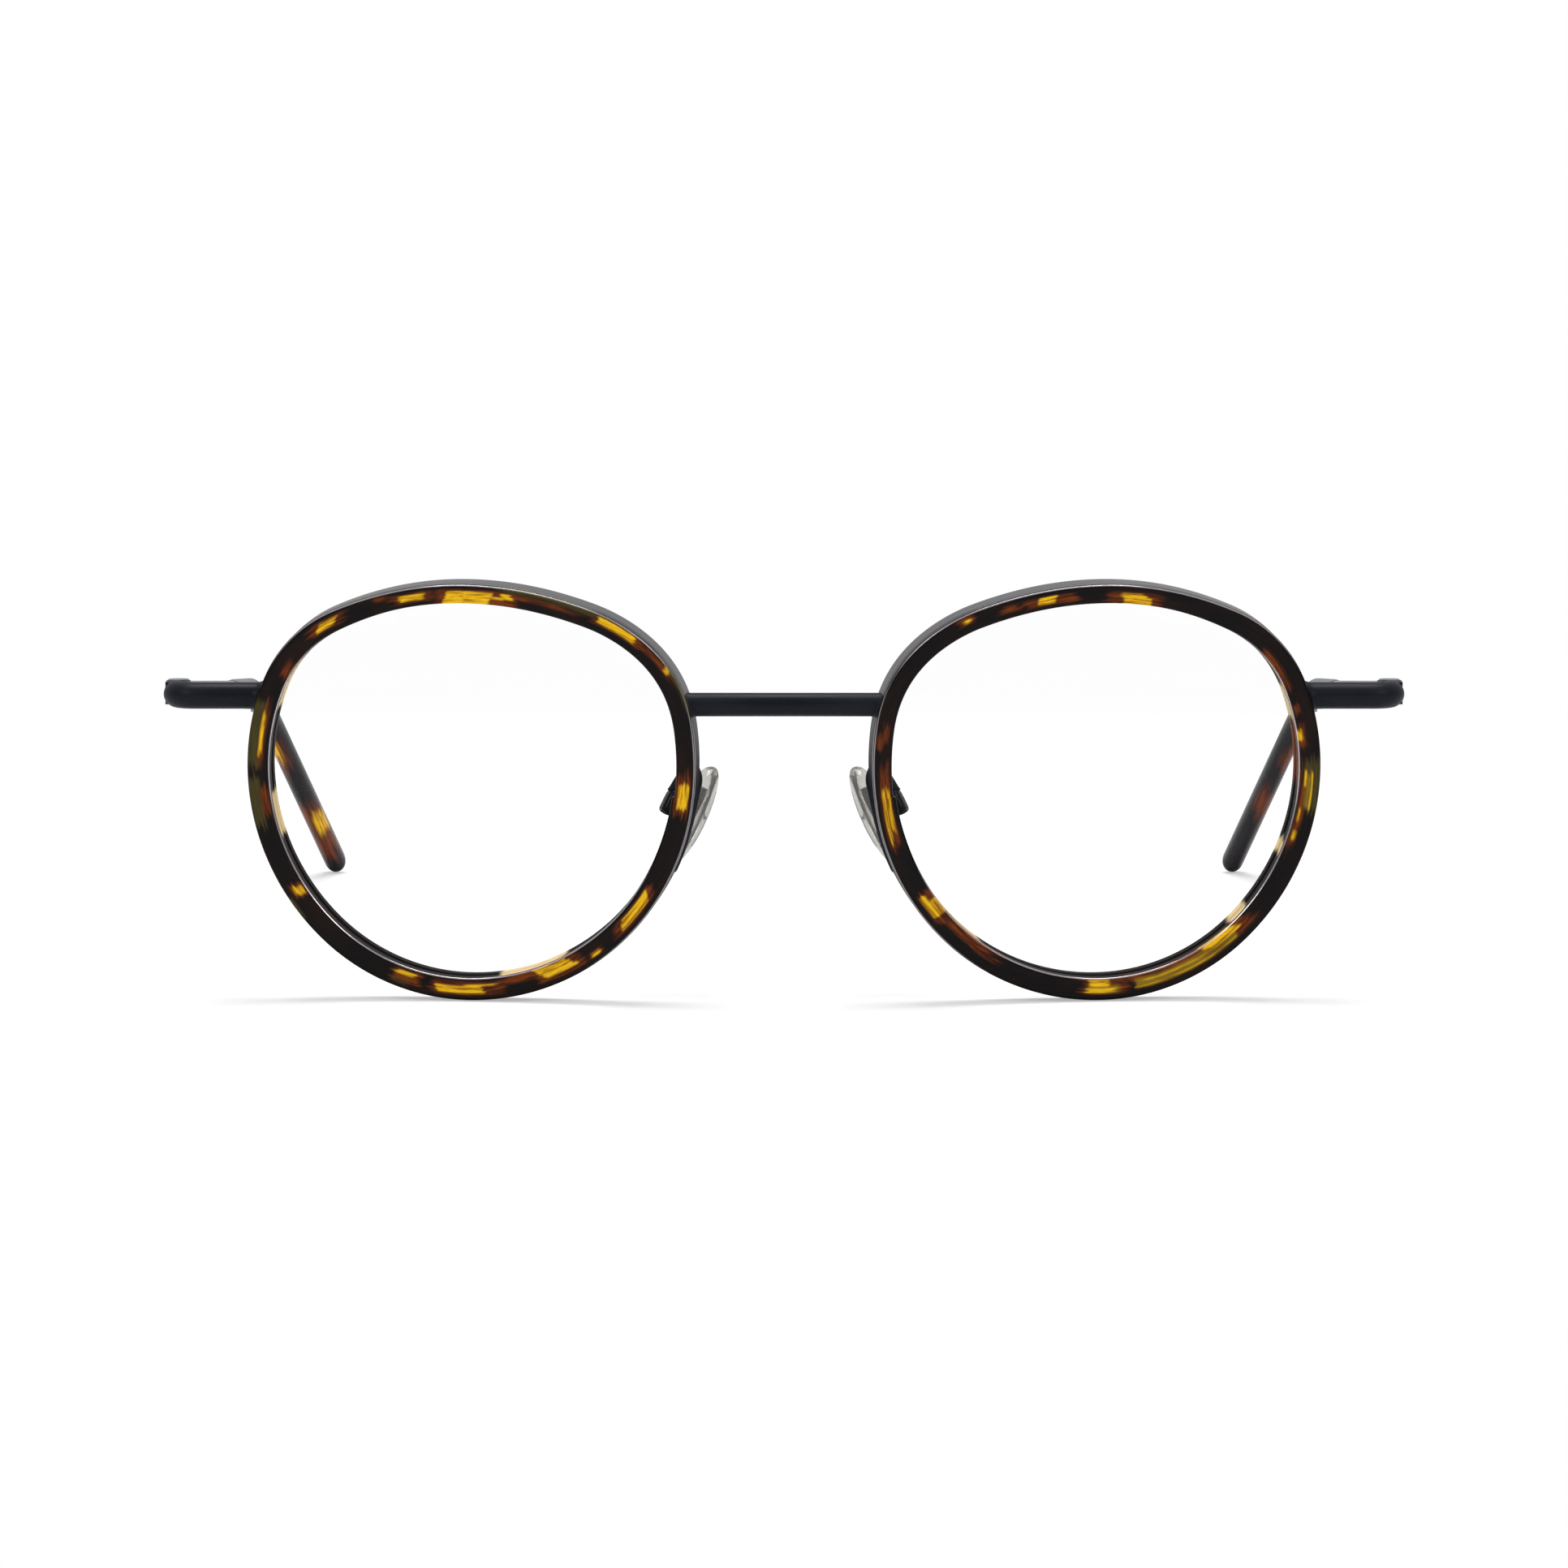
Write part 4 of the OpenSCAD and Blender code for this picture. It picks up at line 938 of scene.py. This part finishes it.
BOX_FRONT, BOX_MID, CHEEK_Y, BOX_CURVE = -0.8, 0.55, 0.9, 0.5
BOX_SIDES, BOX_SQUARE = 32, 0.6


def pad_box_rings():
    """Forked box on the pad's screw: a strip bent to a U, rounded at its back and its ends."""
    cheek = [(BOX_FRONT + on, -CHEEK_Y) for on in (0.0, 0.05, 0.15, 0.3, 0.5, 0.75, 1.0)]
    cheek += [(BOX_MID + BOX_CURVE * math.cos(t), BOX_CURVE * (math.sin(t) + 1) - CHEEK_Y)
              for t in np.linspace(-np.pi / 2, 0, 10)]
    path = np.array(cheek + [(x, -y) for x, y in cheek[::-1]])
    tangent = np.gradient(path, axis=0)
    tangent /= np.linalg.norm(tangent, axis=1)[:, None]
    a = 2 * np.pi * np.arange(BOX_SIDES) / BOX_SIDES
    wide = np.sign(np.cos(a)) * np.abs(np.cos(a)) ** BOX_SQUARE
    tall = np.sign(np.sin(a)) * np.abs(np.sin(a)) ** BOX_SQUARE
    rows = []
    for (x, y), (tx, ty) in zip(path, tangent):
        from_end = min((x - BOX_FRONT) / 0.9, 1.0)
        back = min(max((x - 0.2) / 1.0, 0.0), 1.0)
        high = 0.35 + 0.55 * math.sqrt(1 - (1 - from_end) ** 2) + 0.5 * math.sqrt(1 - back ** 2)
        thick = 0.23 - 0.08 * back
        rows.append(np.stack([x + wide * thick * ty, y - wide * thick * tx, tall * high], -1))
    return np.array(rows)


for name, side in SIDES:
    skin(f"{name}_pad_fork", pad_world(pad_box_rings()), "front", black,
         [f"{name}_pad_box"], side)
    skin(f"{name}_pad_soft", pad_world(pad_rings()), f"{name}_pad", pad_silicone,
         [f"{name}_nose_pad"], side)
    skin(f"{name}_arm_wire", tube(arm_line, arm_radius, 32), "front", navy,
         [f"{name}_pad_arm"], side)


# ---- Nodes that stay, with rounded edges -------------------------------------------------------
# Material and width of the edge, in millimetres
KEPT = {
    "rim_lock": (navy, 0.12), "rim_lock_screw": (steel, 0.06), "front_knuckles": (navy, 0.3),
    "hinge_screw": (steel, 0.07), "pad_screw": (steel, 0.05),
    "pad_insert": (black, 0.06), "temple_knuckle": (navy, 0.08),
}
for name, _ in SIDES:
    for part, (material, width) in KEPT.items():
        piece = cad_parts[f"{name}_{part}"]
        for slot in piece.material_slots:
            slot.material = material
        if not piece.material_slots:
            piece.data.materials.append(material)
        bevel = piece.modifiers.new("edges", "BEVEL")
        bevel.width = width * MM
        bevel.segments = 3
        bevel.limit_method = "ANGLE"
        bevel.angle_limit = math.radians(40)
        bevel.harden_normals = True


# ---- Camera, in metres like all that follows ---------------------------------------------------
CAMERA_AT, CAMERA_AIM, CAMERA_LENS = (0.0, -1.216, 0.133), (0.0, -0.066, 0.0242), 235.69


def place_object(name, data, at=(0, 0, 0), aim=None):
    """New object in the scene; with an aim, its -Z axis points there."""
    placed = bpy.data.objects.new(name, data)
    bpy.context.scene.collection.objects.link(placed)
    placed.location = at
    if aim:
        placed.rotation_euler = (Vector(aim) - Vector(at)).to_track_quat("-Z", "Y").to_euler()
    return placed


camera_data = bpy.data.cameras.new("camera")
camera_data.sensor_width = 36.0
camera_data.lens = CAMERA_LENS
camera_data.clip_start, camera_data.clip_end = 0.02, 30.0
bpy.context.scene.camera = place_object("camera", camera_data, CAMERA_AT, CAMERA_AIM)


# ---- Floor, lamps and world --------------------------------------------------------------------
# The camera and the lenses see a floor that takes the shadow near the glasses and is plain
# white far off; all other rays meet a plain pale floor
FLOOR_HALF, FLOOR_Z = 12.0, -0.0001
WHITE_FROM, WHITE_TO = 0.14, 0.34
WHITE = (1, 1, 1, 1)
floor_nodes = Material("floor_white")
floor_nodes.tree.nodes.remove(floor_nodes.shader)
path = floor_nodes.add("ShaderNodeLightPath").outputs
seen = floor_nodes.math("MAXIMUM", path["Is Camera Ray"], path["Is Transmission Ray"])
near = floor_nodes.pair(
    "ShaderNodeAddShader",
    floor_nodes.add("ShaderNodeBsdfDiffuse", Color=(0.62, 0.62, 0.62, 1)).outputs[0],
    floor_nodes.add("ShaderNodeEmission", Color=WHITE, Strength=0.42).outputs[0])
full = floor_nodes.add("ShaderNodeEmission", Color=WHITE, Strength=1.0).outputs[0]
plain = floor_nodes.add("ShaderNodeBsdfDiffuse", Color=(0.8, 0.8, 0.8, 1)).outputs[0]
length = floor_nodes.add("ShaderNodeVectorMath",
                         Vector=floor_nodes.add("ShaderNodeTexCoord").outputs["Object"])
length.operation = "LENGTH"
far = floor_nodes.ramp(length.outputs["Value"], WHITE_FROM, WHITE_TO)
shown = floor_nodes.pair("ShaderNodeMixShader", near, full, Fac=far)
floor_nodes.put(floor_nodes.tree.nodes["Material Output"], "Surface",
                floor_nodes.pair("ShaderNodeMixShader", plain, shown, Fac=seen))
floor_mesh = bpy.data.meshes.new("floor")
corners = [(x * FLOOR_HALF, y * FLOOR_HALF, FLOOR_Z)
           for x, y in ((-1, -1), (1, -1), (1, 1), (-1, 1))]
floor_mesh.from_pydata(corners, [], [(0, 1, 2, 3)])
floor_mesh.materials.append(floor_nodes.material)
floor = place_object("floor", floor_mesh)


def area_lamp(name, at, aim, size, watts):
    data = bpy.data.lights.new(name, "AREA")
    data.shape = "RECTANGLE"
    data.size, data.size_y = size
    data.energy = watts
    place_object(name, data, at, aim)


area_lamp("overhead", (0.0, 0.12, 1.1), (0, 0, 0), (0.7, 0.5), 9.0)
area_lamp("front_left", (-0.8, -1.0, 0.8), (0, -0.03, 0.02), (0.5, 0.5), 4.0)
area_lamp("front_right", (0.8, -1.0, 0.8), (0, -0.03, 0.02), (0.5, 0.5), 4.0)

# The camera and the lenses see a white background; gloss sees a room that is brighter behind
# the glasses than on the camera's side
world = bpy.data.worlds.new("world")
bpy.context.scene.world = world
world.use_nodes = True
sky_nodes = Tree(world.node_tree)
room = world.node_tree.nodes["Background"]
sky_nodes.put(room, "Color", WHITE)
sky_nodes.put(room, "Strength", 0.35)
white = sky_nodes.add("ShaderNodeBackground", Color=WHITE, Strength=1.0).outputs[0]
rays = sky_nodes.add("ShaderNodeLightPath").outputs
place = sky_nodes.add("ShaderNodeTexCoord").outputs["Generated"]
depth = sky_nodes.add("ShaderNodeSeparateXYZ", Vector=place).outputs["Y"]
glow = sky_nodes.ramp(depth, -0.35, 0.35, 0.2, 0.6, "LINEAR")
gloss = sky_nodes.add("ShaderNodeBackground", Color=WHITE, Strength=glow).outputs[0]
clear_ray = sky_nodes.math("MAXIMUM", rays["Is Camera Ray"], rays["Is Transmission Ray"])
indoors = sky_nodes.pair("ShaderNodeMixShader", room.outputs[0], gloss, Fac=rays["Is Glossy Ray"])
sky_nodes.put(world.node_tree.nodes["World Output"], "Surface",
              sky_nodes.pair("ShaderNodeMixShader", indoors, white, Fac=clear_ray))

bpy.context.scene.view_settings.view_transform = "Standard"
